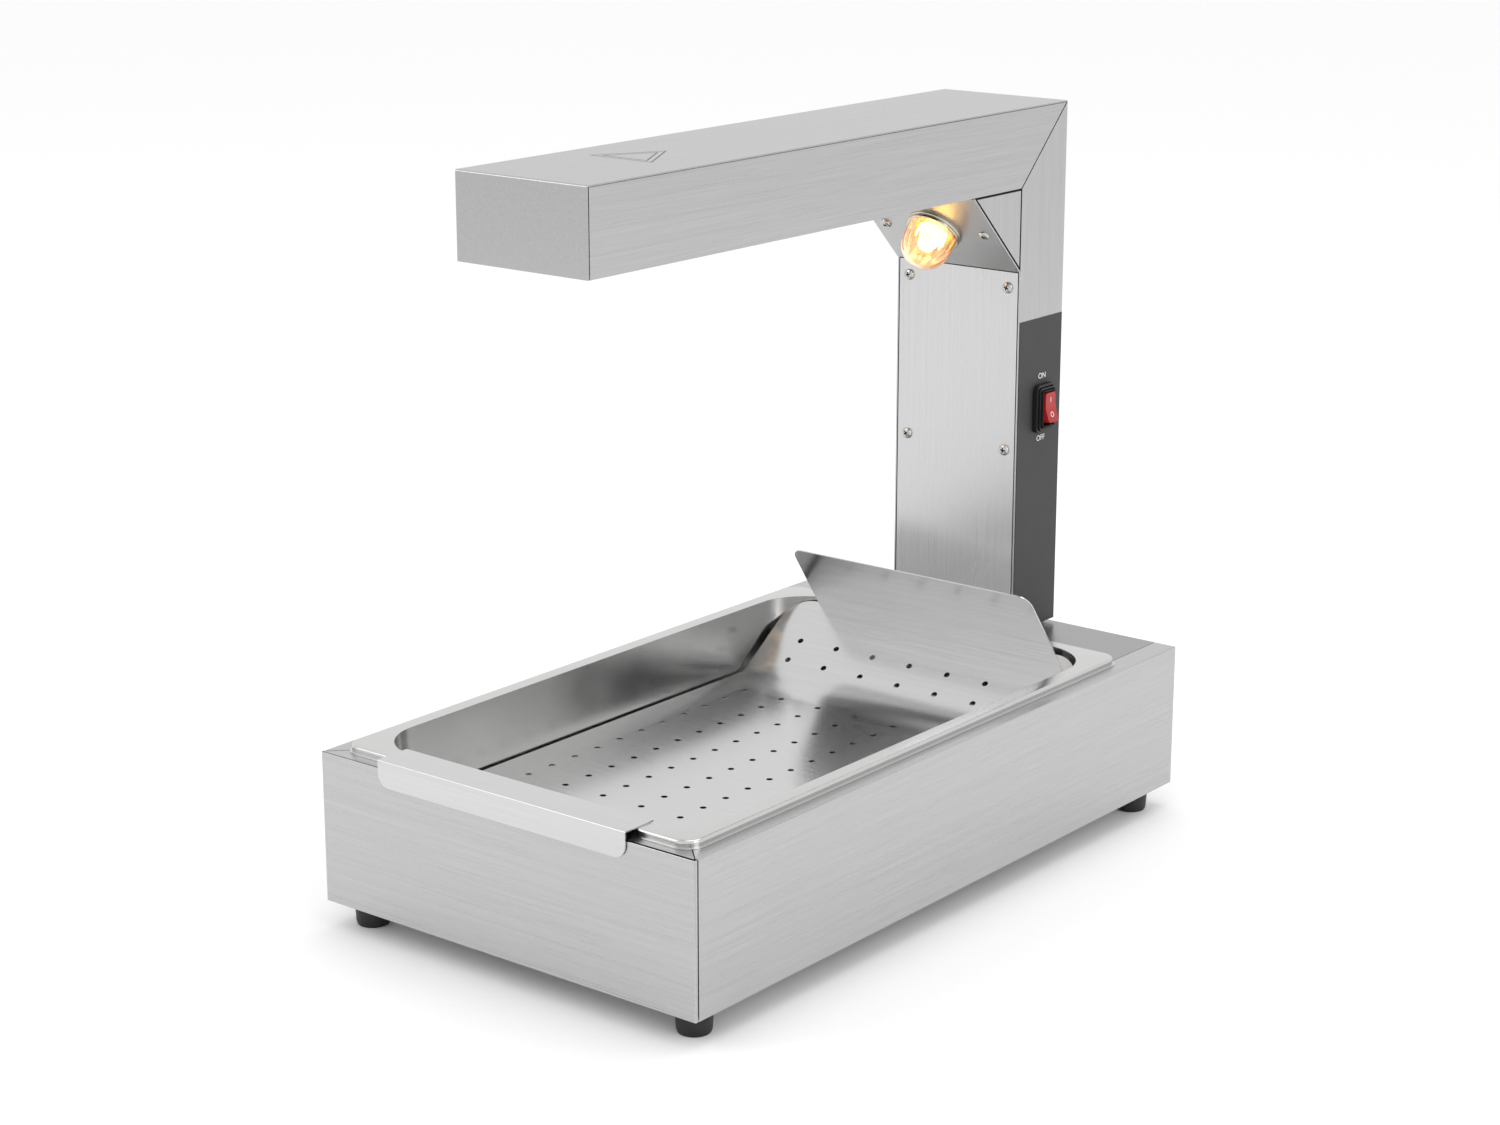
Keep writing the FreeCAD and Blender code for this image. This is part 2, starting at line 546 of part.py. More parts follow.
# ---------------------------------------------------------------- elbow and lamp
def make_elbow():
    corner = "plate_step"
    for name, side in (("left_elbow_gusset", -1), ("right_elbow_gusset", 1)):
        gusset = new_body(name)
        start = "half_inside - gusset_gauge" if side > 0 else "-half_inside"
        outline = [(f"corner_front + {corner}", "arm_low"), ("column_front", f"corner_low + {corner}"),
                   ("rear - shell_gauge - 6", f"corner_low + {corner}"),
                   ("rear - shell_gauge - 6", "arm_top - 2 * shell_gauge - 8"),
                   (f"corner_front + {corner}", "arm_top - 2 * shell_gauge - 8")]
        pad(gusset, sketch(gusset, "YZ_Plane", outline, offset=start), "gusset_gauge")
        ear = [("half_inside - 15", "-half_slant + 14"), ("half_inside - 0.5", "-half_slant + 14"),
               ("half_inside - 0.5", "half_slant - 14"), ("half_inside - 15", "half_slant - 14")]
        base = sketch(gusset, "XY_Plane", sided(ear, side), tilt=135)
        base.setExpression("AttachmentOffset.Base.y", bound("lamp_mid_back + plate_gauge * sqrt(2) / 2"))
        base.setExpression("AttachmentOffset.Base.z", bound("lamp_mid_height + plate_gauge * sqrt(2) / 2"))
        pad(gusset, base, "gusset_gauge", back=True)
        spot = (mirrored_text("half_tube - 12", side), "0", "screw_radius")
        hole = sketch(gusset, "XY_Plane", circles=[spot], tilt=135)
        hole.setExpression("AttachmentOffset.Base.y", bound("lamp_mid_back"))
        hole.setExpression("AttachmentOffset.Base.z", bound("lamp_mid_height"))
        pocket(gusset, hole, "8")
    for name, side in (("left_cheek", -1), ("right_cheek", 1)):
        cheek = new_body(name)
        start = "half_inside" if side > 0 else "-half_tube"
        reach = "plate_step + cheek_gap * 2.4"
        outline = [(f"corner_front + {reach}", "arm_low - cheek_gap"),
                   ("column_front - cheek_gap", "arm_low - cheek_gap"),
                   ("column_front - cheek_gap", f"corner_low + {reach}")]
        pad(cheek, sketch(cheek, "YZ_Plane", outline, offset=start), "shell_gauge")

    lamp_plate = new_body("lamp_plate")
    half = "half_tube - 0.1"
    end = "half_slant - plate_gauge - 0.1"
    outline = [(f"-({half})", f"-({end})"), (half, f"-({end})"), (half, end), (f"-({half})", end)]
    pad(lamp_plate, sketch(lamp_plate, "XY_Plane", outline), "plate_gauge", back=True)
    holes = [("0", "0", "lens_skirt_radius + thread_gap + 1.4")]
    holes += [(f"{sign}(half_tube - 12)", "0", "screw_radius + 0.4") for sign in ("", "-")]
    pocket(lamp_plate, sketch(lamp_plate, "XY_Plane", circles=holes))
    template = screw("lamp_screw", "screw_radius - 0.1", "plate_gauge + 5", "screw_head", "2.6")
    spots = [(f"{sign}(half_tube - 12)", "lamp_mid_back", "lamp_mid_height") for sign in ("", "-")]
    group("lamp_plate_screws", template, spots, LAMP_TURN)
    in_lamp_place(lamp_plate)


def in_lamp_place(piece):
    """Stand a piece on the slanted plate: its own Z points out of the plate, down to the food."""
    return put(piece, "0", "lamp_mid_back", "lamp_mid_height", LAMP_TURN)


def make_lamp():
    holder = new_body("lamp_holder")
    wall, flange, throat = "lens_skirt_radius + 2", "lens_skirt_radius + 5.5", "bulb_cap_radius + 0.15"
    socket = "-holder_depth + 14"
    turned(holder, [(flange, "-plate_gauge"), (flange, "-plate_gauge - 2.5"), (wall, "-plate_gauge - 2.5"),
                    (wall, "-holder_depth"), (throat, "-holder_depth"), (throat, socket),
                    ("lens_skirt_radius - 1.5", socket), ("lens_skirt_radius - 1.5", "-9"),
                    ("lens_skirt_radius + 1.0", "-9"), ("lens_skirt_radius + 1.0", "-plate_gauge")])
    in_lamp_place(holder)
    ring = new_body("lens_ring")
    turned(ring, [("lens_skirt_radius + thread_gap", "0"), ("ring_radius", "0"),
                  ("ring_radius", "ring_height - 1.5"), ("ring_radius - 1.5", "ring_height"),
                  ("lens_skirt_radius + thread_gap", "ring_height")])
    in_lamp_place(ring)
    lens = new_body("glass_lens")
    crown = [(0.0, 1.0), (0.38, 0.955), (0.68, 0.84), (0.88, 0.66), (0.97, 0.46), (1.0, 0.25)]
    low = "ring_height"
    tall = "(lens_height - ring_height)"
    outer = [(f"lens_radius * {r}", f"{low} + {tall} * {h}") for r, h in crown]
    inner = [(f"(lens_radius - lens_wall) * {r}", f"{low} + ({tall} - lens_wall) * {h}") for r, h in crown]
    turned(lens, outer + [("lens_radius", low), ("lens_skirt_radius", low), ("lens_skirt_radius", "-7"),
                          ("lens_skirt_radius - lens_wall", "-7"), ("lens_skirt_radius - lens_wall", low)]
           + inner[::-1])
    in_lamp_place(lens)
    cap = new_body("bulb_cap")
    turned(cap, [("0", "-holder_depth"), ("bulb_cap_radius", "-holder_depth"),
                 ("bulb_cap_radius", "-holder_depth + 20"), ("0", "-holder_depth + 20")])
    in_lamp_place(cap)
    bulb = new_body("lamp_bulb")
    turned(bulb, [("0", "-holder_depth + 20"), ("bulb_cap_radius - 0.6", "-holder_depth + 20"),
                  ("bulb_radius * 0.78", "-6"), ("bulb_radius", "3"), ("bulb_radius * 0.92", "12"),
                  ("bulb_radius * 0.6", "19"), ("0", "22")])
    in_lamp_place(bulb)


# ---------------------------------------------------------------- arm and heater
def make_arm():
    channel = new_body("arm_channel")
    roof, ceiling = "arm_top - shell_gauge", "arm_top - 2 * shell_gauge"
    walls = [("-half_tube", "arm_low"), ("-half_inside", "arm_low"), ("-half_inside", ceiling),
             ("half_inside", ceiling), ("half_inside", "arm_low"), ("half_tube", "arm_low"),
             ("half_tube", roof), ("-half_tube", roof)]
    pad(channel, sketch(channel, "XZ_Plane", walls, offset="-rear"),
        "rear - arm_front - shell_gauge - cover_gap")
    below = [("column_front - 20", "arm_low - 20 + mitre_gap"), ("rear + 20", "arm_low - 40"),
             ("rear + 20", "arm_top + 20 + mitre_gap")]
    edge_x, edge_z = size("half_tube"), size("arm_top") - size("shell_gauge")
    round_edges(channel, "bend_radius * 0.8", lambda edge: runs_along(edge, Y)
                and near(abs(edge.CenterOfMass.x), edge_x) and near(edge.CenterOfMass.z, edge_z))
    pocket(channel, sketch(channel, "YZ_Plane", below))
    for side in (-1, 1):
        inner, outer, upper = "half_tube - arm_flange", "half_inside + 0.2", "arm_low + shell_gauge"
        flange = [(inner, "arm_low"), (outer, "arm_low"), (outer, upper), (inner, upper)]
        pad(channel, sketch(channel, "XZ_Plane", sided(flange, side), offset="-corner_front + 2"),
            "corner_front - 2 - arm_front - shell_gauge - cover_gap")

    cover = new_body("arm_cover")
    profile = [("arm_front", "arm_low"), ("arm_front + shell_gauge", "arm_low"),
               ("arm_front + shell_gauge", "arm_top - shell_gauge"), ("rear", "arm_top - shell_gauge"),
               ("rear", "arm_top"), ("arm_front", "arm_top")]
    pad(cover, sketch(cover, "YZ_Plane", profile), "tube_width", middle=True)
    left, right = "-half_tube + arm_flange + 1", "half_tube - arm_flange - 1"
    lip = [(left, "arm_front"), (right, "arm_front"), (right, "arm_front + 12"), (left, "arm_front + 12")]
    pad(cover, sketch(cover, "XY_Plane", lip, offset="arm_low"), "shell_gauge")
    front, top = size("arm_front"), size("arm_top")
    round_edges(cover, "bend_radius", lambda edge: runs_along(edge, X)
                and near(edge.CenterOfMass.y, front) and near(edge.CenterOfMass.z, top))
    pocket(cover, sketch(cover, "YZ_Plane", below))


def make_heater():
    reflector = new_body("heat_reflector")
    edge, bend, crest = "half_tube - 4", "half_tube - arm_flange + 1.5", "tube_spacing / 2 + block_side + 2"
    shelf = "arm_low + shell_gauge"
    under = [(f"-({edge})", shelf), (f"-({bend})", shelf), (f"-({crest})", "reflector_top"),
             (crest, "reflector_top"), (bend, shelf), (edge, shelf)]
    over = [(x, f"{z} + reflector_gauge") for x, z in under[::-1]]
    pad(reflector, sketch(reflector, "XZ_Plane", under + over, offset="-heater_rear - 24"),
        "heater_rear - heater_front + 48")

    tubes = new_body("heater_tubes")
    spots = [(f"{sign}tube_spacing / 2", "heater_height") for sign in ("-", "")]
    pad(tubes, sketch(tubes, "XZ_Plane", circles=[(x, z, "tube_radius") for x, z in spots],
                      offset="-heater_rear"), "heater_rear - heater_front")
    pocket(tubes, sketch(tubes, "XZ_Plane", circles=[(x, z, "tube_radius - tube_wall") for x, z in spots]))
    coils = new_body("heater_coils")
    pad(coils, sketch(coils, "XZ_Plane", circles=[(x, z, "coil_radius") for x, z in spots],
                      offset="-heater_rear - 2"), "heater_rear - heater_front + 4")
    blocks = (("front_heater_block", "heater_front - block_length + block_hold", "heater_front"),
              ("rear_heater_block", "heater_rear - block_hold", "heater_rear - block_hold"))
    for name, start, mouth in blocks:
        block = new_body(name)
        half, floor = "tube_spacing / 2 + block_side", "heater_height - block_under"
        outline = [(f"-({half})", floor), (half, floor), (half, "reflector_top"),
                   (f"-({half})", "reflector_top")]
        pad(block, sketch(block, "XZ_Plane", outline, offset=f"-({start})"), "block_length", back=True)
        bore = sketch(block, "XZ_Plane", circles=[(x, z, "tube_radius + 0.02") for x, z in spots],
                      offset=f"-({mouth})")
        pocket(block, bore, "block_hold")
        seat = sketch(block, "XZ_Plane", circles=[(x, z, "coil_radius + 0.02") for x, z in spots])
        pocket(block, seat)

    guard = new_body("wire_guard")
    rail = "half_tube - arm_flange - guard_wire"
    rails = [(f"{sign}({rail})", "arm_low + guard_wire", "guard_wire") for sign in ("", "-")]
    pad(guard, sketch(guard, "XZ_Plane", circles=rails, offset="-corner_front + 16"),
        "corner_front - 16 - arm_front - 14")
    rib = sketch(guard, "YZ_Plane", circles=[("arm_front + 24", "arm_low + guard_wire + 0.6", "guard_rib")])
    first = pad(guard, rib, f"2 * ({rail})", middle=True)
    doc.recompute()
    span = size("corner_front") - size("arm_front") - 60
    row_of(guard, first, "Y_Axis", "guard_pitch", int(span / size("guard_pitch")) + 1)


# ---------------------------------------------------------------- switch and wiring
def rectangle(across, along, half_width, half_height):
    return [(f"{across} - ({half_width})", f"{along} - ({half_height})"),
            (f"{across} + ({half_width})", f"{along} - ({half_height})"),
            (f"{across} + ({half_width})", f"{along} + ({half_height})"),
            (f"{across} - ({half_width})", f"{along} + ({half_height})")]


def make_switch():
    overlay = new_body("side_overlay")
    outline = [("column_front + 1", "column_low"), ("rear - bend_radius", "column_low"),
               ("rear - bend_radius", "top + overlay_top"), ("column_front + 1", "top + overlay_top")]
    pad(overlay, sketch(overlay, "YZ_Plane", outline, offset="half_tube"), "overlay_gauge")
    window = rectangle("switch_back", "switch_height", "switch_width / 2", "switch_tall / 2")
    pocket(overlay, sketch(overlay, "YZ_Plane", window))

    housing = new_body("switch_housing")
    inner = rectangle("switch_back", "switch_height", "switch_width / 2 - 0.2", "switch_tall / 2 - 0.2")
    pad(housing, sketch(housing, "YZ_Plane", inner, offset="half_tube + overlay_gauge - switch_depth"),
        "switch_depth + 3")
    well = rectangle("switch_back", "switch_height", "switch_width / 2 - 1.2", "switch_tall / 2 - 1.2")
    pocket(housing, sketch(housing, "YZ_Plane", well, offset="half_tube - 8"), "30", back=True)
    seat = ("half_tube + rocker_pivot", "switch_height", "pivot_pin + pivot_play")
    pocket(housing, sketch(housing, "XZ_Plane", circles=[seat], offset="-switch_back"),
           "switch_width + 2", middle=True)
    boot = new_body("switch_boot")
    outer = rectangle("switch_back", "switch_height", "switch_width / 2 + boot_margin",
                      "switch_tall / 2 + boot_margin")
    pad(boot, sketch(boot, "YZ_Plane", outer, offset="half_tube + overlay_gauge"), "boot_height")
    round_edges(boot, "boot_margin * 0.6", lambda edge: runs_along(edge, X))
    hollow = rectangle("switch_back", "switch_height", "switch_width / 2 - 0.2", "switch_tall / 2 - 0.2")
    pocket(boot, sketch(boot, "YZ_Plane", hollow))

    rocker = new_body("switch_rocker")
    half = "switch_tall / 2"
    profile = [(f"-({half} - 4.4)", "-6"), (f"{half} - 4.4", "-6"), (f"{half} - 3.4", "rocker_pivot"),
               (f"{half} - 3.0", "rocker_reach"), ("0", "rocker_reach - 1.8"),
               (f"-({half} - 3.0)", "rocker_reach"), (f"-({half} - 3.4)", "rocker_pivot")]
    pad(rocker, sketch(rocker, "YZ_Plane", profile), "switch_width - 3.2", middle=True)
    pad(rocker, sketch(rocker, "YZ_Plane", circles=[("0", "0", "pivot_pin")]), "switch_width - 0.8",
        middle=True)
    put(rocker, "half_tube + rocker_pivot", "switch_back", "switch_height",
        Rotation(Y, -size("rocker_tilt")) * Rotation(Vector(1, 1, 1), 120))
    terminals = new_body("switch_terminals")
    for shift in ("- 7", "+ 7"):
        tab = rectangle("switch_back", f"switch_height {shift}", "3.1", "0.4")
        pad(terminals, sketch(terminals, "YZ_Plane", tab,
                              offset="half_tube + overlay_gauge - switch_depth - 8"), "8")


def make_cable_entry():
    gland = new_body("cable_gland")
    turned(gland, [("gland_bore", "-shell_gauge - 8"), ("gland_thread", "-shell_gauge - 8"),
                   ("gland_thread", "0"), ("gland_thread + 3.2", "0"), ("gland_thread + 3.2", "5"),
                   ("gland_thread + 1.2", "5.6"), ("gland_thread + 1.2", "gland_reach - 5"),
                   ("gland_thread - 1.6", "gland_reach"), ("gland_bore", "gland_reach")])
    put(gland, "0", "rear", "gland_height", TO_BACK)
    nut = hexagon("gland_nut", "gland_thread + 3", "4.5", "gland_thread")
    keep("gland_nut", nut)
    put(nut, "0", "rear - shell_gauge", "gland_height", TO_FRONT)
    plate("terminal_block", "-27", "rear - shell_gauge - block_depth", "block_low", "54",
          "block_depth", "block_height")
    stud = screw("earth_screw", "screw_radius", "shell_gauge + 7", "screw_head", "2.4")
    keep("earth_screw", stud)
    put(stud, "-36", "rear", "gland_height + 16", TO_BACK)
    pocket(parts["column_shell"], sketch(parts["column_shell"], "XZ_Plane",
           circles=[("-36", "gland_height + 16", "screw_radius + 0.1")], offset="-rear + 6"), "20")


def wire(points):
    """One insulated wire: straight runs joined by round bends, with the size of a real lead."""
    bend, radius = size("wire_bend"), size("wire_radius")
    corners = [Vector(*point) for point in points]
    edges, start = [], corners[0]
    for before, corner, after in zip(corners, corners[1:], corners[2:]):
        into = (corner - before).normalize()
        out = (after - corner).normalize()
        half_turn = into.getAngle(out) / 2
        reach = bend * math.tan(half_turn)
        first, last = corner - into * reach, corner + out * reach
        inward = (out - into).normalize()
        middle = corner + inward * (bend / math.cos(half_turn) - bend)
        edges += [Part.makeLine(start, first), Part.Arc(first, middle, last).toShape()]
        start = last
    edges.append(Part.makeLine(start, corners[-1]))
    path = Part.Wire(edges)
    rim = Part.Wire(Part.makeCircle(radius, corners[0], (corners[1] - corners[0]).normalize()))
    return path.makePipeShell([rim], True, False)


def wires(name, routes):
    bundle = doc.addObject("Part::Feature", name)
    bundle.Shape = Part.makeCompound([wire(route) for route in routes])
    keep(name, bundle)


def make_wiring():
    """Routes for each bundle, from the gland to the switch, the lamp and the heater."""
    rear, back = size("rear"), size("wire_back")
    low, high = size("block_low"), size("block_top")
    skin = rear - size("shell_gauge")
    inside = skin - 8
    forward = inside - 20
    entry = size("gland_height")
    stud = entry + 16
    supply = [[(x, inside, entry), (x, forward, entry), (5 * x, forward, entry + 24),
               (5 * x, back, low - 18), (5 * x, back, low)] for x in (-2.4, 2.4)]
    earth = [(0, inside, entry), (0, forward + 2, entry), (-36, forward + 2, entry + 4),
             (-36, forward + 2, stud), (-36, skin - 7.2, stud)]
    wires("supply_wires", supply + [earth])

    level, seat = size("switch_height"), size("switch_back")
    tab = size("half_tube") + size("overlay_gauge") - size("switch_depth") - 8
    wires("switch_wires", [[(x, back, high), (x, back, level + rise), (x, seat, level + rise),
                            (tab, seat, level + rise)] for x, rise in ((10, -7), (-10, 7))])

    reach = size("holder_depth") / math.sqrt(2)
    cap_back, cap_high = size("lamp_mid_back") + reach, size("lamp_mid_height") + reach
    ahead = back - cap_back
    wires("lamp_wires", [[(x, back, high), (x, back, cap_high + ahead * 0.8),
                          (x, cap_back + ahead * 0.6, cap_high + ahead * 0.6),
                          (x, cap_back, cap_high)] for x in (-3.5, 3.5)])

    ceiling = size("reflector_top") + 12
    spacing, seat_height = size("tube_spacing") / 2, size("heater_height")
    end, start = size("heater_rear") + 2, size("heater_front") - 2
    feeds = [[(side * 18, back, high), (side * 18, back, ceiling), (side * 18, end + 62, ceiling),
              (side * spacing, end + 34, seat_height), (side * spacing, end, seat_height)]
             for side in (-1, 1)]
    bridge = [(-spacing, start, seat_height), (-spacing, start - 18, seat_height),
              (spacing, start - 18, seat_height), (spacing, start, seat_height)]
    wires("heater_wires", feeds + [bridge])


# ---------------------------------------------------------------- pan and insert
def rounded_block(name, half, first, last, high, depth, corner,
                  draft=None, low_round=None, top_round=None):
    """A block under a level top, with round upright corners, for the pan's skins."""
    body = new_body(name, kept=False)
    outline = [(f"-({half})", first), (half, first), (half, last), (f"-({half})", last)]
    feature = pad(body, sketch(body, "XY_Plane", outline, offset=high), depth, back=True)
    if draft:
        feature.setExpression("TaperAngle", bound("-" + draft))
    doc.recompute()
    top = body.Shape.BoundBox.ZMax
    low = body.Shape.BoundBox.ZMin
    round_edges(body, corner, lambda edge: edge.BoundBox.ZLength > 0.5 * (top - low))
    if low_round:
        round_edges(body, low_round, lambda edge: edge.BoundBox.ZMax < low + 0.01)
    if top_round:
        round_edges(body, top_round, lambda edge: edge.BoundBox.ZMin > top - 0.01)
    return body


def make_pan():
    rim = rounded_block("rim_outside", "half_pan", "pan_front", "pan_rear", "rim_top", "pan_rim",
                        "pan_corner", top_round="pan_edge_round")
    lip = rounded_block("lip_outside", "half_pan + pan_lip", "pan_front - pan_lip", "pan_rear + pan_lip",
                        "top + pan_gauge", "pan_gauge", "pan_corner + pan_lip")
    hollow = rounded_block("rim_inside", "half_pan - pan_gauge", "pan_front + pan_gauge",
                           "pan_rear - pan_gauge", "rim_top - pan_gauge", "pan_rim + 2",
                           "pan_corner - pan_gauge", top_round="pan_edge_round - pan_gauge")
    well = rounded_block("well_outside", "half_well + pan_gauge", "well_front - pan_gauge",
                         "well_rear + pan_gauge", "rim_top - pan_gauge / 2", "pan_depth - pan_gauge / 2",
                         "pan_well_corner + pan_gauge", "pan_draft", "pan_floor_round + pan_gauge")
    room = rounded_block("well_inside", "half_well", "well_front", "well_rear", "rim_top",
                         "pan_depth - pan_gauge", "pan_well_corner", "pan_draft", "pan_floor_round")
    skins = doc.addObject("Part::MultiFuse", "rim_skins")
    skins.Shapes = [rim, lip]
    skins.Refine = True
    edge = doc.addObject("Part::Cut", "rim_edge")
    edge.Base, edge.Tool = skins, hollow
    whole = doc.addObject("Part::MultiFuse", "pan_skins")
    whole.Shapes = [edge, well]
    pan = doc.addObject("Part::Cut", "gn_pan")
    pan.Base, pan.Tool = whole, room
    keep("gn_pan", pan)


def make_insert():
    insert = new_body("drain_insert")
    strip_top = "strip_under + insert_gauge"
    apron_low = f"{strip_top} - apron_height"
    hook = [("front - apron_face", apron_low), ("front - apron_gap", apron_low),
            ("front - apron_gap", "strip_under"), ("hook_back", "strip_under"), ("hook_back", strip_top),
            ("front - apron_face", strip_top)]
    pad(insert, sketch(insert, "YZ_Plane", hook), "hook_width", middle=True)
    face = size("front") - size("apron_face")
    low = size("strip_under") + size("insert_gauge") - size("apron_height")
    round_edges(insert, "insert_gauge * 0.9", lambda edge: runs_along(edge, X)
                and near(edge.CenterOfMass.y, face) and edge.CenterOfMass.z > low + 2)
    round_edges(insert, "flap_corner", lambda edge: runs_along(edge, Y) and near(edge.CenterOfMass.z, low))
    drop = [("hook_back - insert_gauge", "insert_floor"), ("hook_back", "insert_floor"),
            ("hook_back", strip_top), ("hook_back - insert_gauge", strip_top)]
    pad(insert, sketch(insert, "YZ_Plane", drop), "drop_width", middle=True)
    first_row, last_row = "hook_back - insert_gauge", "ramp_foot + insert_gauge * 0.4"
    floor = [("-half_floor", first_row), ("half_floor", first_row), ("half_floor", last_row),
             ("-half_floor", last_row)]
    pad(insert, sketch(insert, "XY_Plane", floor, offset="insert_floor"), "insert_gauge")
    back, level = size("hook_back"), size("insert_floor") + size("insert_gauge") / 2
    side = size("half_floor") - 1
    round_edges(insert, "pan_well_corner - 5", lambda edge: runs_along(edge, Z)
                and near(edge.CenterOfMass.z, level)
                and edge.CenterOfMass.y < back + 1 and abs(edge.CenterOfMass.x) > side)

    low_edge, high_edge = "-insert_gauge * 0.6", "ramp_length + insert_gauge"
    ramp = [("-half_floor", low_edge), ("half_floor", low_edge), ("half_floor", high_edge),
            ("-half_floor", high_edge)]
    pad(insert, slanted(insert, "ramp_foot", "insert_floor + insert_gauge", size("ramp_angle"), ramp),
        "insert_gauge", back=True)
    doc.recompute()
    fold = size("fold_back")
    round_edges(insert, "ramp_corner", lambda edge: len(edge.Vertexes) == 2 and edge.Length < 1.5
                and abs(edge.CenterOfMass.y - fold) < 3 and abs(edge.CenterOfMass.x) > side)
    flap = [("-flap_width / 2", "-insert_gauge"), ("flap_width / 2", "-insert_gauge"),
            ("flap_width / 2 - 1.5", "flap_height"), ("-flap_width / 2 + 1.5", "flap_height")]
    pad(insert, slanted(insert, "fold_back", "fold_height + insert_gauge", size("ramp_angle") + 90, flap),
        "insert_gauge", back=True)
    doc.recompute()
    crest = insert.Shape.BoundBox.ZMax
    round_edges(insert, "flap_corner", lambda edge: len(edge.Vertexes) == 2 and edge.Length < 1.5
                and edge.CenterOfMass.z > crest - 3)
    across = [f"drain_pitch * {k}" for k in (-3, -2, -1, 0, 1, 2, 3)]
    row = [(x, "hook_back + 44", "drain_radius") for x in across]
    first = pocket(insert, sketch(insert, "XY_Plane", circles=row, offset="insert_floor - 1"),
                   "insert_gauge + 2", back=True)
    doc.recompute()
    room = size("ramp_foot") - size("hook_back") - 60
    row_of(insert, first, "Y_Axis", "drain_row_pitch", int(room / size("drain_row_pitch")) + 1)
    for row in (1, 2):
        spots = [(x, f"ramp_row_pitch * {row}", "drain_radius") for x in across]
        drawing = slanted(insert, "ramp_foot", "insert_floor + insert_gauge", size("ramp_angle"),
                          circles=spots)
        pocket(insert, drawing, "insert_gauge * 6", middle=True)


def slanted(body, back, height, angle, outline=(), circles=()):
    """A sketch on a plane that leans back about X, through a line at the given place."""
    drawing = sketch(body, "XY_Plane", outline, circles, tilt=angle)
    drawing.setExpression("AttachmentOffset.Base.y", bound(back))
    drawing.setExpression("AttachmentOffset.Base.z", bound(height))
    return drawing


make_stand()
make_feet()
make_column()
make_elbow()
make_lamp()
make_arm()
make_heater()
make_switch()
make_cable_entry()
make_wiring()
make_pan()
make_insert()
doc.recompute()

for thing in doc.Objects:
    if any(word in ("Invalid", "Error") for word in thing.State):
        raise RuntimeError(f"{thing.Label} did not build: {thing.State}")
for name, thing in parts.items():
    if thing.Shape.isNull() or not thing.Shape.isValid():
        raise RuntimeError(f"{name} has no sound shape")

os.makedirs("parts", exist_ok=True)
for name, thing in parts.items():
    thing.Shape.exportStep(f"parts/{name}.step")
print(len(parts), "sub-parts written")
for name in ("front", "rear", "gland_height", "switch_back", "switch_height", "lamp_mid_back",
             "lamp_mid_height", "insert_floor", "rim_top", "ramp_foot", "fold_back", "arm_low"):
    print(name, round(size(name), 3))
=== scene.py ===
import json
import math

import bmesh
import bpy
from mathutils import Matrix, Vector


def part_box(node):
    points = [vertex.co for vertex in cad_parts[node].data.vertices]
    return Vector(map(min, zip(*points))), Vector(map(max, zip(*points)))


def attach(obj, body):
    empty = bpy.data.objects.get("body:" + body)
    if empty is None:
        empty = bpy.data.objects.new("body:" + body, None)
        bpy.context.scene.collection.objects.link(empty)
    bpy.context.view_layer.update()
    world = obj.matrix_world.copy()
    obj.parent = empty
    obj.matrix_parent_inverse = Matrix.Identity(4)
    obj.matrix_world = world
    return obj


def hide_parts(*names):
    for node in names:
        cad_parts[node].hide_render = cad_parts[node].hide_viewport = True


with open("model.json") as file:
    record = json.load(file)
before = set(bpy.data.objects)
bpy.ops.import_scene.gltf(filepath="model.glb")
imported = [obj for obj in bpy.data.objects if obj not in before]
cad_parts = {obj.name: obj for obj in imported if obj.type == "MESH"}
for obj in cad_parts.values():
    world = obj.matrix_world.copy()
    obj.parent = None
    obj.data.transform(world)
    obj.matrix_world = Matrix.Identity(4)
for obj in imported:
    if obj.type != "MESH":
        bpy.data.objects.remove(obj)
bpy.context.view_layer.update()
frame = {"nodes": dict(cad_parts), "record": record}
mm = 0.001


# adds one node, sets its sockets or properties, and plugs in what feeds it
def addNode(tree, kind, settings=None, links=None):
    node = tree.nodes.new(kind)
    for name, value in (settings or {}).items():
        if isinstance(name, int) or name in node.inputs:
            node.inputs[name].default_value = value
        else:
            setattr(node, name, value)
    for socket, source in (links or {}).items():
        tree.links.new(source, node.inputs[socket])
    return node


# hex colours are sRGB, sockets want linear
def linear(code, alpha=1.0):
    parts = [int(code[k:k + 2], 16) / 255 for k in (1, 3, 5)]
    return tuple(p / 12.92 if p <= 0.04045 else ((p + 0.055) / 1.055) ** 2.4 for p in parts) + (alpha,)


def newMaterial(name, settings):
    material = bpy.data.materials.new(name)
    material.use_nodes = True
    tree = material.node_tree
    tree.nodes.clear()
    shader = addNode(tree, "ShaderNodeBsdfPrincipled", settings)
    addNode(tree, "ShaderNodeOutputMaterial", links={"Surface": shader.outputs[0]})
    return material, tree, shader


def feed(tree, shader, sources):
    for socket, source in sources.items():
        tree.links.new(source, shader.inputs[socket])


# Object coordinates, stretched so that one unit is one grain
def grainSpace(tree, scale):
    place = addNode(tree, "ShaderNodeTexCoord")
    mapping = addNode(tree, "ShaderNodeMapping", {"Scale": scale}, {"Vector": place.outputs["Object"]})
    return mapping.outputs[0]


# noise whose grains are so many mm across, the same each way or one size for each axis
def noise(tree, grain, settings):
    sizes = grain if isinstance(grain, list) else [grain] * 3
    space = grainSpace(tree, [1 / (size * mm) for size in sizes])
    return addNode(tree, "ShaderNodeTexNoise", {"Scale": 1.0, **settings}, {"Vector": space}).outputs[0]


def blendOf(tree, dark, light, share):
    settings = {"data_type": "RGBA", 6: linear(dark), 7: linear(light)}
    return addNode(tree, "ShaderNodeMix", settings, {0: share}).outputs[2]


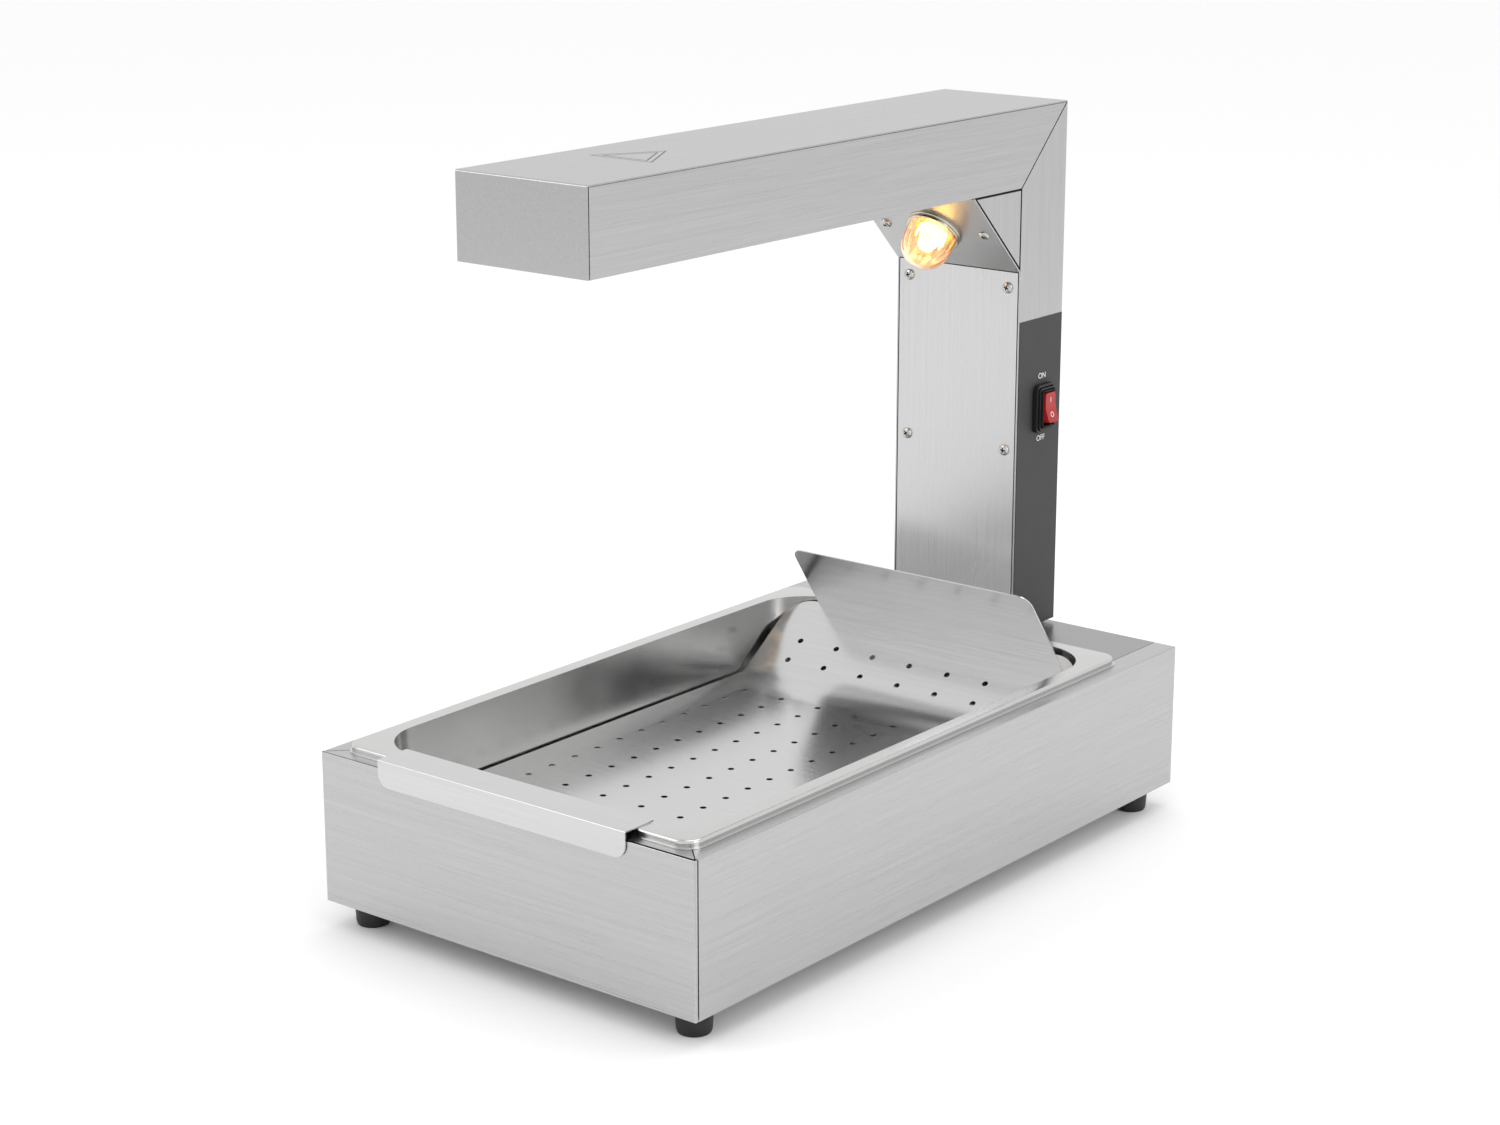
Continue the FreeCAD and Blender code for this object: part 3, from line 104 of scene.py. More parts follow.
def spreadOf(tree, low, high, share, fromLow=0.0, fromHigh=1.0):
    settings = {"From Min": fromLow, "From Max": fromHigh, "To Min": low, "To Max": high}
    return addNode(tree, "ShaderNodeMapRange", settings, {"Value": share}).outputs[0]


def bumpOf(tree, strength, depth, height):
    settings = {"Strength": strength, "Distance": depth * mm}
    return addNode(tree, "ShaderNodeBump", settings, {"Height": height}).outputs[0]


view = {
    "place": (1.3664, -1.7450, 0.8609),
    "direction": (-0.6006, 0.7526, -0.2701),
    "lens": 73.2,
    "sensor": 36.0,
    "farClip": 30,  # m
}


def makeCamera():
    camera = bpy.data.objects.new("camera", bpy.data.cameras.new("camera"))
    camera.data.lens = view["lens"]
    camera.data.sensor_width = view["sensor"]
    camera.data.clip_end = view["farClip"]
    camera.location = view["place"]
    camera.rotation_euler = Vector(view["direction"]).to_track_quat("-Z", "Y").to_euler()
    bpy.context.scene.collection.objects.link(camera)
    bpy.context.scene.camera = camera


studio = {
    "level": "#FFFFFF", "strength": 1.0,
    "paper": "#FDFDFD", "paperDark": "#FAFAFA",
    "paperReach": 8,  # m, from the middle to each side
    "fibresPerMetre": 120,
    # name: place, aim, width, height, watts
    "softboxes": {
        "keySoftbox": ((-1.7, -2.0, 2.0), (0, 0, 0.3), 1.4, 1.4, 12),
        "sideSoftbox": ((2.6, -0.3, 1.5), (0, 0, 0.25), 1.2, 1.6, 10),
        "topSoftbox": ((0.2, 0.4, 2.4), (0, 0, 0.2), 1.6, 1.6, 10),
    },
}


def makeStudio():
    scene = bpy.context.scene
    scene.view_settings.view_transform = "Standard"
    world = bpy.data.worlds.new("studio")
    scene.world = world
    world.use_nodes = True
    world.node_tree.nodes.clear()
    sky = addNode(world.node_tree, "ShaderNodeBackground",
                  {"Color": linear(studio["level"]), "Strength": studio["strength"]})
    addNode(world.node_tree, "ShaderNodeOutputWorld", links={"Surface": sky.outputs[0]})
    for name, (place, aim, width, height, watts) in studio["softboxes"].items():
        light = bpy.data.lights.new(name, "AREA")
        light.shape = "RECTANGLE"
        light.size, light.size_y, light.energy = width, height, watts
        box = bpy.data.objects.new(name, light)
        box.location = place
        box.rotation_euler = (Vector(aim) - Vector(place)).to_track_quat("-Z", "Y").to_euler()
        scene.collection.objects.link(box)
    bm = bmesh.new()
    bmesh.ops.create_grid(bm, x_segments=1, y_segments=1, size=studio["paperReach"])
    mesh = bpy.data.meshes.new("studioFloor")
    bm.to_mesh(mesh)
    bm.free()
    floor = bpy.data.objects.new("studioFloor", mesh)
    scene.collection.objects.link(floor)
    mesh.materials.append(seamlessPaper())


# matte seamless backdrop paper, very slightly uneven
def seamlessPaper():
    material, tree, shader = newMaterial("seamlessPaper", {"Roughness": 0.9})
    fibres = noise(tree, 1000 / studio["fibresPerMetre"], {"Detail": 4.0})
    feed(tree, shader, {"Base Color": blendOf(tree, studio["paperDark"], studio["paper"], fibres)})
    return material


brushed = {
    "light": "#CBCBCC", "dark": "#A6A6A7",
    "roughness": 0.30, "spread": 0.14,
    "acrossGrain": 0.7,  # mm; the real scratches are nearer 0.1 mm, drawn this coarse so that they show
    "alongGrain": 60.0,  # mm
    "bandAcross": 4, "bandAlong": 5,  # a band of scratches, in scratches
    "bandShare": 0.35,
    "depth": 0.014,  # mm
}
# a noise keeps mostly between these two values, so they are spread over a finish's whole range
busyRange = (0.3, 0.7)


# belt-brushed 304 stainless: long fine scratches one way, and a shine that smears across them
def brushedStainless(name, grain, light=None, dark=None, roughness=None, spread=None):
    material, tree, shader = newMaterial(name, {"Metallic": 1.0})
    axis = "XYZ".index(grain)
    fine = [brushed["acrossGrain"]] * 3
    fine[axis] = brushed["alongGrain"]
    broad = [brushed["bandAcross"] * brushed["acrossGrain"]] * 3
    broad[axis] = brushed["bandAlong"] * brushed["alongGrain"]
    scratches = noise(tree, fine, {"Detail": 4.0, "Roughness": 0.7})
    bands = noise(tree, broad, {"Detail": 2.0})
    both = addNode(tree, "ShaderNodeMix", {"data_type": "FLOAT", 0: brushed["bandShare"]},
                   {2: scratches, 3: bands}).outputs[0]
    roughness = roughness or brushed["roughness"]
    half = (spread or brushed["spread"]) / 2
    feed(tree, shader, {
        "Base Color": blendOf(tree, dark or brushed["dark"], light or brushed["light"], both),
        "Roughness": spreadOf(tree, roughness - half, roughness + half, both, *busyRange),
        "Normal": bumpOf(tree, 0.5, brushed["depth"], both),
    })
    return material


# drawn, rolled or plated metal: smooth, with faint clouds and a very fine skin
def smoothMetal(name, light, dark, roughness, cloudSize=70.0):
    material, tree, shader = newMaterial(name, {"Metallic": 1.0})
    cloud = noise(tree, cloudSize, {"Detail": 5.0, "Roughness": 0.5})
    skin = noise(tree, 1.2, {"Detail": 2.0})
    feed(tree, shader, {
        "Base Color": blendOf(tree, dark, light, cloud),
        "Roughness": spreadOf(tree, roughness * 0.75, roughness * 1.25, cloud, *busyRange),
        "Normal": bumpOf(tree, 0.1, 0.01, skin),
    })
    return material


# moulded rubber, nylon, print or porcelain: an even grit from the tool, a little mottled
def mouldedSkin(name, light, dark, roughness, grit, depth=0.05, settings=None):
    material, tree, shader = newMaterial(name, dict(settings or {}))
    grain = noise(tree, grit, {"Detail": 3.0})
    cloud = noise(tree, 18, {"Detail": 2.0})
    feed(tree, shader, {
        "Base Color": blendOf(tree, dark, light, cloud),
        "Roughness": spreadOf(tree, roughness - 0.06, roughness + 0.06, grain),
        "Normal": bumpOf(tree, 0.35, depth, grain),
    })
    return material


# pressed or blown glass: clear, with slow waves left by the mould; a glow makes the glass emit light itself,
# which for a lens is a painted glow standing in for the bulb's light inside it
def clearGlass(name, colour, roughness, ior, wave, glow=None, strength=0.0):
    settings = {"Transmission Weight": 1.0, "IOR": ior, "Base Color": linear(colour)}
    if glow:
        settings["Emission Color"] = linear(glow)
        settings["Emission Strength"] = strength
    material, tree, shader = newMaterial(name, settings)
    waves = noise(tree, wave, {"Detail": 2.0})
    feed(tree, shader, {
        "Roughness": spreadOf(tree, roughness * 0.5, roughness * 1.5, waves),
        "Normal": bumpOf(tree, 0.3, 0.3, waves),
    })
    return material


# hot wire or filament: dull oxide that glows unevenly along its turns
def glowingWire(name, cool, hot, strength):
    material, tree, shader = newMaterial(name, {"Roughness": 0.6, "Base Color": linear("#5A4034")})
    cloud = noise(tree, 30, {"Detail": 2.0})
    feed(tree, shader, {
        "Emission Strength": spreadOf(tree, strength * 0.7, strength * 1.2, cloud),
        "Emission Color": blendOf(tree, cool, hot, cloud),
    })
    return material


finishes = {
    "steelAlongX": brushedStainless("brushedStainlessAlongX", "X"),
    "steelAlongY": brushedStainless("brushedStainlessAlongY", "Y"),
    "steelAlongZ": brushedStainless("brushedStainlessAlongZ", "Z"),
    # a darker copy of the brushed stainless for the top of the arm: painted shade on that face
    "shadedCoverSteel": brushedStainless("brushedStainlessCoverPaintedShade", "Y", "#BCBCBD", "#A3A3A4"),
    # a lighter copy of the brushed stainless for the column's front plate: painted sheen where the plate
    # catches the light
    "litPlateSteel": brushedStainless("brushedStainlessPlatePaintedSheen", "Z", "#DADADB", "#B8B8B9"),
    # a darker copy of the brushed stainless for the rear deck: painted shade
    "shadedDeckSteel": brushedStainless("brushedStainlessDeckPaintedShade", "X", "#A8A8A9", "#909091"),
    "insertSteel": brushedStainless("brightRolledStainlessInsert", "X", "#D6D6D6", "#C2C2C2", 0.19, 0.06),
    "satinSteel": smoothMetal("satinStainless", "#C8C8C8", "#B0B0AF", 0.36),
    # near-black steel: painted shade inside the seams and inside the screws' cross recesses
    "shadowSteel": smoothMetal("paintedShadeSteel", "#3A3A3B", "#262627", 0.6),
    "panSteel": smoothMetal("drawnPolishedStainless", "#D2D2D1", "#C4C4C3", 0.20),
    "screwSteel": smoothMetal("nickelPlatedSteel", "#CFCDC9", "#B0AEAA", 0.20, 8.0),
    "collarChrome": smoothMetal("chromePlatedCollar", "#DCD2C2", "#BDB2A0", 0.14, 12.0),
    "capBrass": smoothMetal("turnedBrass", "#D9B96A", "#B8964A", 0.25, 12.0),
    "reflectorAluminium": smoothMetal("brightRolledAluminium", "#E0E1E2", "#CACBCD", 0.20),
    "footRubber": mouldedSkin("mouldedNitrileRubber", "#1C1C1D", "#111112", 0.5, 0.5),
    "bootRubber": mouldedSkin("mouldedSiliconeRubber", "#1A1A1B", "#101011", 0.38, 0.4, 0.03),
    "blackNylon": mouldedSkin("mouldedBlackNylon", "#191919", "#111111", 0.45, 0.6),
    "printedFilm": mouldedSkin("printedPolyesterFilm", "#393939", "#343434", 0.6, 0.35, 0.02),
    "whiteInk": mouldedSkin("whiteScreenInk", "#F2F2F2", "#E6E6E6", 0.6, 0.3, 0.01),
    "etchedSteel": mouldedSkin("etchedStainless", "#58595A", "#4C4D4E", 0.6, 0.3, 0.01),
    "rockerRed": mouldedSkin("redPolycarbonate", "#B41A18", "#981210", 0.32, 1.2, 0.02, {"Coat Weight": 0.1}),
    "porcelain": mouldedSkin("glazedPorcelain", "#EAE6DC", "#DDD8CC", 0.25, 1.5, 0.03, {"Coat Weight": 0.6}),
    "glassSleeving": mouldedSkin("braidedGlassSleeving", "#D8D4C8", "#BDB8AA", 0.8, 0.5, 0.1),
    # the lens glass glows orange itself: a painted glow standing in for the bulb's light through it, which
    # also lights the plate
    "lensGlass": clearGlass("pressedLensGlassPaintedGlow", "#FFF6E0", 0.03, 1.50, 5.0, "#FFA238", 0.10),
    "bulbGlass": clearGlass("frostedBulbGlass", "#FFF1CF", 0.3, 1.45, 8.0, "#FFD080", 2.6),
    "quartz": clearGlass("fusedQuartz", "#F7F3EE", 0.04, 1.46, 20.0),
    "heaterWire": glowingWire("ironChromiumWire", "#FF6A22", "#FFB060", 1.6),
    "filament": glowingWire("tungstenFilament", "#FFC46A", "#FFE2A8", 60.0),
}
print("finishes ready:", len(finishes))


edgeWork = {
    "smoothUnder": 32,  # degrees between faces that look round
    "easeOver": 50,  # degrees between faces whose edge is eased
    "easeSegments": 2,
    "flat": 0.4,  # degrees between faces that are really one
    "weld": 0.002,  # mm between points of a frame node that are really one
    "touching": 1e-6,  # m, the same for the pieces made here
}


def newPiece(bm, name, finish, body, nodes=(), matrix=None, smooth=edgeWork["smoothUnder"], ease=None):
    if matrix is not None:
        bmesh.ops.transform(bm, matrix=matrix, verts=bm.verts)
    mesh = bpy.data.meshes.new(name)
    bm.to_mesh(mesh)
    bm.free()
    mesh.materials.append(finishes[finish])
    mesh.polygons.foreach_set("use_smooth", [True] * len(mesh.polygons))
    mesh.set_sharp_from_angle(angle=math.radians(smooth))
    piece = bpy.data.objects.new(name, mesh)
    bpy.context.scene.collection.objects.link(piece)
    if ease:
        rounding = piece.modifiers.new("easedEdges", "BEVEL")
        rounding.width = ease * mm
        rounding.segments = edgeWork["easeSegments"]
        rounding.limit_method = "ANGLE"
        rounding.angle_limit = math.radians(edgeWork["easeOver"])
        rounding.harden_normals = True
    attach(piece, body)
    if nodes:
        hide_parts(*nodes)
    return piece


def middle(node):
    low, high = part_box(node)
    return (low + high) / 2


# an outline of (radius, height) pairs in metres, spun about Z
def turned(outline, steps=64):
    bm = bmesh.new()
    corners = [bm.verts.new((radius, 0, height)) for radius, height in outline]
    edges = [bm.edges.new(pair) for pair in zip(corners, corners[1:])]
    bmesh.ops.spin(bm, geom=corners + edges, axis=(0, 0, 1), cent=(0, 0, 0), angle=math.tau, steps=steps,
                   use_merge=True)
    bmesh.ops.remove_doubles(bm, verts=bm.verts, dist=edgeWork["touching"])
    bmesh.ops.recalc_face_normals(bm, faces=bm.faces)
    return bm


# an outline in mm brought to metres, its inside corners turned into short arcs
def softened(outline, radius, steps=4):
    points = [Vector(point) * mm for point in outline]
    smooth = [points[0]]
    for before, here, after in zip(points, points[1:], points[2:]):
        first, last = before - here, after - here
        reach = min(radius * mm, first.length * 0.45, last.length * 0.45)
        start, end = here + first.normalized() * reach, here + last.normalized() * reach
        for k in range(steps + 1):
            t = k / steps
            smooth.append(start * (1 - t) ** 2 + here * 2 * t * (1 - t) + end * t ** 2)
    smooth.append(points[-1])
    return [tuple(point) for point in smooth]


# draws each vertex in towards Z by the share that a rule gives for its radius, height and angle
def fluted(bm, bite):
    for vert in bm.verts:
        radius, height = math.hypot(vert.co.x, vert.co.y) / mm, vert.co.z / mm
        share = 1 - bite(radius, height, math.atan2(vert.co.y, vert.co.x))
        vert.co.x *= share
        vert.co.y *= share


# 0 on the ridges and 1 in the grooves, so many of them round the axis
def groove(count, angle):
    return 0.5 - 0.5 * math.cos(count * angle)


# turns Z to an axis and stands the piece at a place
def standing(place, axis, spin=0.0):
    turn = Vector(axis).to_track_quat("Z", "Y").to_matrix().to_4x4()
    return Matrix.Translation(place) @ turn @ Matrix.Rotation(spin, 4, "Z")


# flat work drawn in X and Y, facing +X: its right is the object's back, its top is up
faceRight = Matrix(((0, 0, 1), (1, 0, 0), (0, 1, 0))).to_4x4()


# an object's mesh as its modifiers or curve settings make it; the object goes
def bakedMesh(thing):
    mesh = bpy.data.meshes.new_from_object(thing.evaluated_get(bpy.context.evaluated_depsgraph_get()))
    bpy.data.objects.remove(thing)
    return mesh


def inScene(name, data):
    thing = bpy.data.objects.new(name, data)
    bpy.context.scene.collection.objects.link(thing)
    return thing


bodyOf = {node: body for body, nodes in frame["record"]["behaviour"]["bodies"].items() for node in nodes}

# a frame node copied with its flat faces merged and its edges eased: finish, slot, ease in mm
sheetWork = {
    "front_panel": ("steelAlongX", "brushed_steel", 0.25),
    "left_side_panel": ("steelAlongY", "brushed_steel", 0.25),
    "right_side_panel": ("steelAlongY", "brushed_steel", 0.25),
    "rear_panel": ("steelAlongX", "brushed_steel", 0.25),
    "rear_deck": ("shadedDeckSteel", "brushed_steel", 0.25),
    "base_plate": ("satinSteel", "brushed_steel", 0.25),
    "column_shell": ("steelAlongZ", "brushed_steel", 0.3),
    "column_front_plate": ("litPlateSteel", "brushed_steel", 0.3),
    "column_spacer": ("satinSteel", "brushed_steel", 0.3),
    "left_cheek": ("steelAlongZ", "brushed_steel", 0.25),
    "right_cheek": ("steelAlongZ", "brushed_steel", 0.25),
    "lamp_plate": ("satinSteel", "brushed_steel", 0.3),
    "arm_channel": ("steelAlongY", "brushed_steel", 0.3),
    "arm_cover": ("shadedCoverSteel", "brushed_steel", 0.3),
    "heat_reflector": ("reflectorAluminium", "reflector_aluminium", 0.2),
    "gn_pan": ("panSteel", "pan_steel", 0.2),
    "drain_insert": ("insertSteel", "pan_steel", 0.25),
    "side_overlay": ("printedFilm", "dark_overlay", None),
    "wire_guard": ("screwSteel", "screw_steel", None),
    "front_heater_block": ("porcelain", "ceramic", 0.8),
    "rear_heater_block": ("porcelain", "ceramic", 0.8),
    "switch_housing": ("blackNylon", "black_plastic", 0.3),
    "switch_rocker": ("rockerRed", "red_plastic", 0.7),
    "front_left_foot": ("footRubber", "foot_rubber", 0.9),
    "rear_left_foot": ("footRubber", "foot_rubber", 0.9),
    "front_right_foot": ("footRubber", "foot_rubber", 0.9),
    "rear_right_foot": ("footRubber", "foot_rubber", 0.9),
    "terminal_block": ("blackNylon", "black_plastic", 0.5),
    "gland_nut": ("blackNylon", "black_plastic", 0.4),
    "column_bolts": ("screwSteel", "screw_steel", 0.3),
    "column_nuts": ("screwSteel", "screw_steel", 0.3),
    "switch_terminals": ("capBrass", "cap_brass", 0.1),
}


# corners that run out of the stand's side, rounded by so many mm
roundedCorners = {"switch_rocker": 2.6}
shortestCorner = 3  # mm; the pivot pin has shorter edges that way


def mergedCopy(node):
    bm = bmesh.new()
    bm.from_mesh(frame["nodes"][node].data)
    bmesh.ops.remove_doubles(bm, verts=bm.verts, dist=edgeWork["weld"] * mm)
    return bm


def flatMerged(node):
    bm = mergedCopy(node)
    bmesh.ops.dissolve_limit(bm, angle_limit=math.radians(edgeWork["flat"]), verts=bm.verts, edges=bm.edges)
    return bm


def makeSheetWork():
    for node, (finish, slot, ease) in sheetWork.items():
        bm = flatMerged(node)
        if node in roundedCorners:
            corners = [edge for edge in bm.edges if edge.calc_length() > shortestCorner * mm
                       and abs((edge.verts[1].co - edge.verts[0].co).normalized().x) > 0.8]
            bmesh.ops.bevel(bm, geom=corners, offset=roundedCorners[node] * mm, segments=5, profile=0.5,
                            affect="EDGES")
        newPiece(bm, node + "_finished", finish, bodyOf[node], [node], ease=ease)


# frame nodes that keep their own mesh and only get a finish
plainNodes = {
    "satinSteel": ("deck_stiffener", "column_bracket"),
    # inner parts in near-black steel, painted shade: only their edges show, as the dark lines inside the
    # seams
    "shadowSteel": ("left_corner_angle", "right_corner_angle", "left_plate_strip", "right_plate_strip",
                    "left_elbow_gusset", "right_elbow_gusset"),
    "porcelain": ("lamp_holder",),
    "quartz": ("heater_tubes",),
    "glassSleeving": ("supply_wires", "switch_wires", "lamp_wires", "heater_wires"),
}


def paintPlainNodes():
    for finish, nodes in plainNodes.items():
        for node in nodes:
            slots = frame["nodes"][node].data.materials
            slots.clear()
            slots.append(finishes[finish])


downTheLamp = Vector((0, -1, -1)).normalized()
screws = {
    # node: the way its head points, head height in mm
    "column_plate_screws": ((0, -1, 0), 2.6),
    "lamp_plate_screws": (downTheLamp, 2.6),
    "rear_panel_screws": ((0, 1, 0), 2.0),
    "base_screws": ((0, 0, -1), 2.0),
    "foot_screws": ((0, 0, -1), 2.4),
    "earth_screw": ((0, 1, 0), 2.4),
}
screwShape = {
    "shank": 1.6, "point": 0.4,  # mm
    "pointWide": 0.7,  # in shanks
    # the dome from its crown to its foot, in head radii and head heights
    "dome": ((0, 0), (0.30, 0.02), (0.58, 0.12), (0.80, 0.30), (0.94, 0.55), (1, 0.85), (1, 1)),
    # the cross cutter: length and width in head radii, depth in head heights, then how far its tip narrows
    "cross": (1.3, 0.30, 1.4), "crossTip": (0.45, 0.6, 1.0),
    "firstStop": 0.5, "nextStop": 1.3,  # radians
}


# the head's top, the head's radius and the whole length of each loose screw in a node
def screwSpots(node, axis):
    bm = mergedCopy(node)
    along = Vector(axis).normalized()
    turn = along.to_track_quat("Z", "Y").to_matrix()
    left, spots = set(bm.verts), []
    while left:
        shell, reached = set(), [left.pop()]
        while reached:
            vert = reached.pop()
            shell.add(vert)
            near = {edge.other_vert(vert) for edge in vert.link_edges} & left
            left -= near
            reached += near
        local = [turn.transposed() @ vert.co for vert in shell]
        low = Vector([min(co[k] for co in local) for k in range(3)])
        high = Vector([max(co[k] for co in local) for k in range(3)])
        top = Vector(((low.x + high.x) / 2, (low.y + high.y) / 2, high.z))
        spots.append((turn @ top, (high.x - low.x) / 2, high.z - low.z))
    bm.free()
    # a set has no order of its own, and each screw's angle goes by its number
    return sorted(spots, key=lambda spot: tuple(spot[0]))


# a pan head on a plain shank, its cross recess cut with a tapered cross whose faces carry a near-black
# painted shade
def panHeadScrew(radius, height, length):
    shank = screwShape["shank"] * mm
    outline = [(across * radius, -down * height) for across, down in screwShape["dome"]]
    outline += [(shank, -height), (shank, -length + screwShape["point"] * mm)]
    outline += [(shank * screwShape["pointWide"], -length), (0, -length)]
    bm = turned(outline, 36)
    mesh = bpy.data.meshes.new("screwBlank")
    bm.to_mesh(mesh)
    bm.free()
    cutter = bmesh.new()
    long, wide, deep = screwShape["cross"]
    for angle in (0, math.pi / 2):
        arm = bmesh.ops.create_cube(cutter, size=1.0)["verts"]
        bmesh.ops.scale(cutter, verts=arm, vec=(long * radius, wide * radius, deep * height))
        tip = [vert for vert in arm if vert.co.z < 0]
        bmesh.ops.scale(cutter, verts=tip, vec=screwShape["crossTip"])
        bmesh.ops.rotate(cutter, verts=arm, cent=(0, 0, 0), matrix=Matrix.Rotation(angle, 3, "Z"))
    # the cutter's faces take slot 1, the near-black steel: painted shade in the recess
    for face in cutter.faces:
        face.material_index = 1
    crossMesh = bpy.data.meshes.new("crossCutter")
    cutter.to_mesh(crossMesh)
    cutter.free()
    for shell in (mesh, crossMesh):
        shell.materials.append(finishes["screwSteel"])
        shell.materials.append(finishes["shadowSteel"])
    blank, cross = inScene("screwBlank", mesh), inScene("crossCutter", crossMesh)
    recess = blank.modifiers.new("crossRecess", "BOOLEAN")
    recess.operation = "DIFFERENCE"
    recess.solver = "EXACT"
    recess.use_self = True
    recess.object = cross
    shaped = bakedMesh(blank)
    bpy.data.objects.remove(cross)
    return shaped


def makeScrews():
    for node, (axis, height) in screws.items():
        bm = bmesh.new()
        for number, (top, radius, length) in enumerate(screwSpots(node, axis)):
            one = panHeadScrew(radius, height * mm, length)
            start = len(bm.verts)
            bm.from_mesh(one)
            bm.verts.ensure_lookup_table()
            # each screw stopped at its own angle
            spin = screwShape["firstStop"] + screwShape["nextStop"] * number
            bmesh.ops.transform(bm, matrix=standing(top, axis, spin), verts=bm.verts[start:])
        piece = newPiece(bm, node + "_crossHead", "screwSteel", "stand", [node])
        # the second slot is the near-black painted shade of the cross recesses
        piece.data.materials.append(finishes["shadowSteel"])


# all in mm; heights are along the lamp's axis, from the plate down
lamp = {
    "collar": 5.0, "collarRadius": 22.4, "collarBore": 17.7,
    "radius": 20.4, "tall": 35.0, "wall": 2.2, "skirt": 17.1, "skirtDepth": 7.0,
    "side": 0.8, "crown": 0.62,  # below 1, the dome is fuller than an ellipse
    "flutes": 14, "fluteDepth": 0.045, "fluteRun": 1.15,
    "bulb": ((0, -14), (6.1, -14), (6.6, -11), (8.6, -5.5), (10.4, -1), (10.9, 3), (10.7, 8), (9.6, 13),
             (7.4, 17.4), (4.2, 20.6), (0, 21.9)),
    "threads": 5, "threadPitch": 2.9, "threadRoot": 5.9, "threadCrest": 6.75, "threadStart": -32,
    "capTip": ((0, -34), (4.4, -34), (4.8, -33)),
    "capTop": ((5.9, -17.5), (6.4, -16.5), (6.4, -14), (0, -14)),
}


def lampPlace():
    # the collar's middle lies on the lamp's axis, half a collar above the plate
    base = middle("lens_ring") - downTheLamp * lamp["collar"] / 2 * mm
    return standing(base, downTheLamp)


# one point of the dome's section: share 0 is the crown, share 1 the collar
def domePoint(radius, rise, share):
    turn = share * math.pi / 2
    return (radius * math.sin(turn) ** lamp["side"], lamp["collar"] + rise * math.cos(turn) ** lamp["crown"])


# flutes round the glass, deepest halfway up the dome
def lensBite(radius, height, angle):
    if height <= lamp["collar"] + 1 or radius <= 1:
        return 0
    share = (height - lamp["collar"]) / (lamp["tall"] - lamp["collar"])
    depth = lamp["fluteDepth"] * math.sin(min(1.0, share * lamp["fluteRun"]) * math.pi)
    return depth * groove(lamp["flutes"], angle)


def makeLamp():
    place = lampPlace()
    bore, outer, tall = lamp["collarBore"], lamp["collarRadius"], lamp["collar"]
    bead = [(bore, 0), (outer, 0), (outer, 1.6), (outer - 0.7, 2.1), (outer - 0.7, 2.9), (outer, 3.4),
            (outer - 0.5, tall), (bore, tall), (bore, 0)]
    newPiece(turned(softened(bead, 0.5)), "lensCollar", "collarChrome", "stand", ["lens_ring"],
             place)

    radius, wall, skirt = lamp["radius"], lamp["wall"], lamp["skirt"]
    rise = lamp["tall"] - tall
    outside = [domePoint(radius, rise, k / 16) for k in range(16)]
    outside += [(radius, tall + 0.6), (radius, tall), (skirt, tall), (skirt, -lamp["skirtDepth"])]
    inside = [(skirt - wall, -lamp["skirtDepth"]), (skirt - wall, tall)]
    inside += [domePoint(radius - wall, rise - wall, 1 - k / 12) for k in range(13)]
    lens = turned([(r * mm, h * mm) for r, h in outside + inside], 112)
    fluted(lens, lensBite)
    newPiece(lens, "flutedLens", "lensGlass", "lens", ["glass_lens"], place, smooth=60)

    newPiece(turned(softened(lamp["bulb"], 3.0, 5), 48), "bulbEnvelope", "bulbGlass", "stand",
             ["lamp_bulb"], place, smooth=60)
    thread = list(lamp["capTip"])
    for turn in range(lamp["threads"]):
        low = lamp["threadStart"] + lamp["threadPitch"] * turn
        thread += [(lamp["threadRoot"], low), (lamp["threadCrest"], low + lamp["threadPitch"] / 2)]
    thread += lamp["capTop"]
    newPiece(turned(softened(thread, 0.7, 3), 48), "threadedBulbCap", "capBrass", "stand",
             ["bulb_cap"], place)
    makeFilament(place)


def curvePiece(name, points, thickness, finish, body, nodes=(), matrix=None, sides=1):
    curve = bpy.data.curves.new(name, "CURVE")
    curve.dimensions = "3D"
    curve.bevel_depth = thickness
    curve.bevel_resolution = sides
    curve.use_fill_caps = True
    line = curve.splines.new("POLY")
    line.points.add(len(points) - 1)
    for knot, place in zip(line.points, points):
        knot.co = (*place, 1)
    bm = bmesh.new()
    bm.from_mesh(bakedMesh(inScene(name + "Curve", curve)))
    return newPiece(bm, name, finish, body, nodes, matrix, smooth=60)


# in mm, in the lamp's own frame
filament = {"turns": 9, "stepsPerTurn": 10, "reach": 4.5, "coil": 0.8, "height": 5, "foot": -12, "wire": 0.16}


# the coiled filament across the bulb, on its two stiff supports
def makeFilament(place):
    reach, coil, height = filament["reach"], filament["coil"], filament["height"]
    support = [(-reach, 0, filament["foot"]), (-reach, 0, height - 1)]
    steps = filament["turns"] * filament["stepsPerTurn"]
    points = list(support)
    for k in range(steps + 1):
        angle = k / filament["stepsPerTurn"] * math.tau
        points.append((-reach + 2 * reach * k / steps, coil * math.sin(angle),
                       height + coil * math.cos(angle)))
    points += [(-x, y, z) for x, y, z in reversed(support)]
    curvePiece("coiledFilament", [Vector(point) * mm for point in points], filament["wire"] * mm, "filament",
               "stand", matrix=place)


heater = {"pitch": 3.6, "stepsPerTurn": 12, "wire": 0.45, "coil": 2.9}  # mm


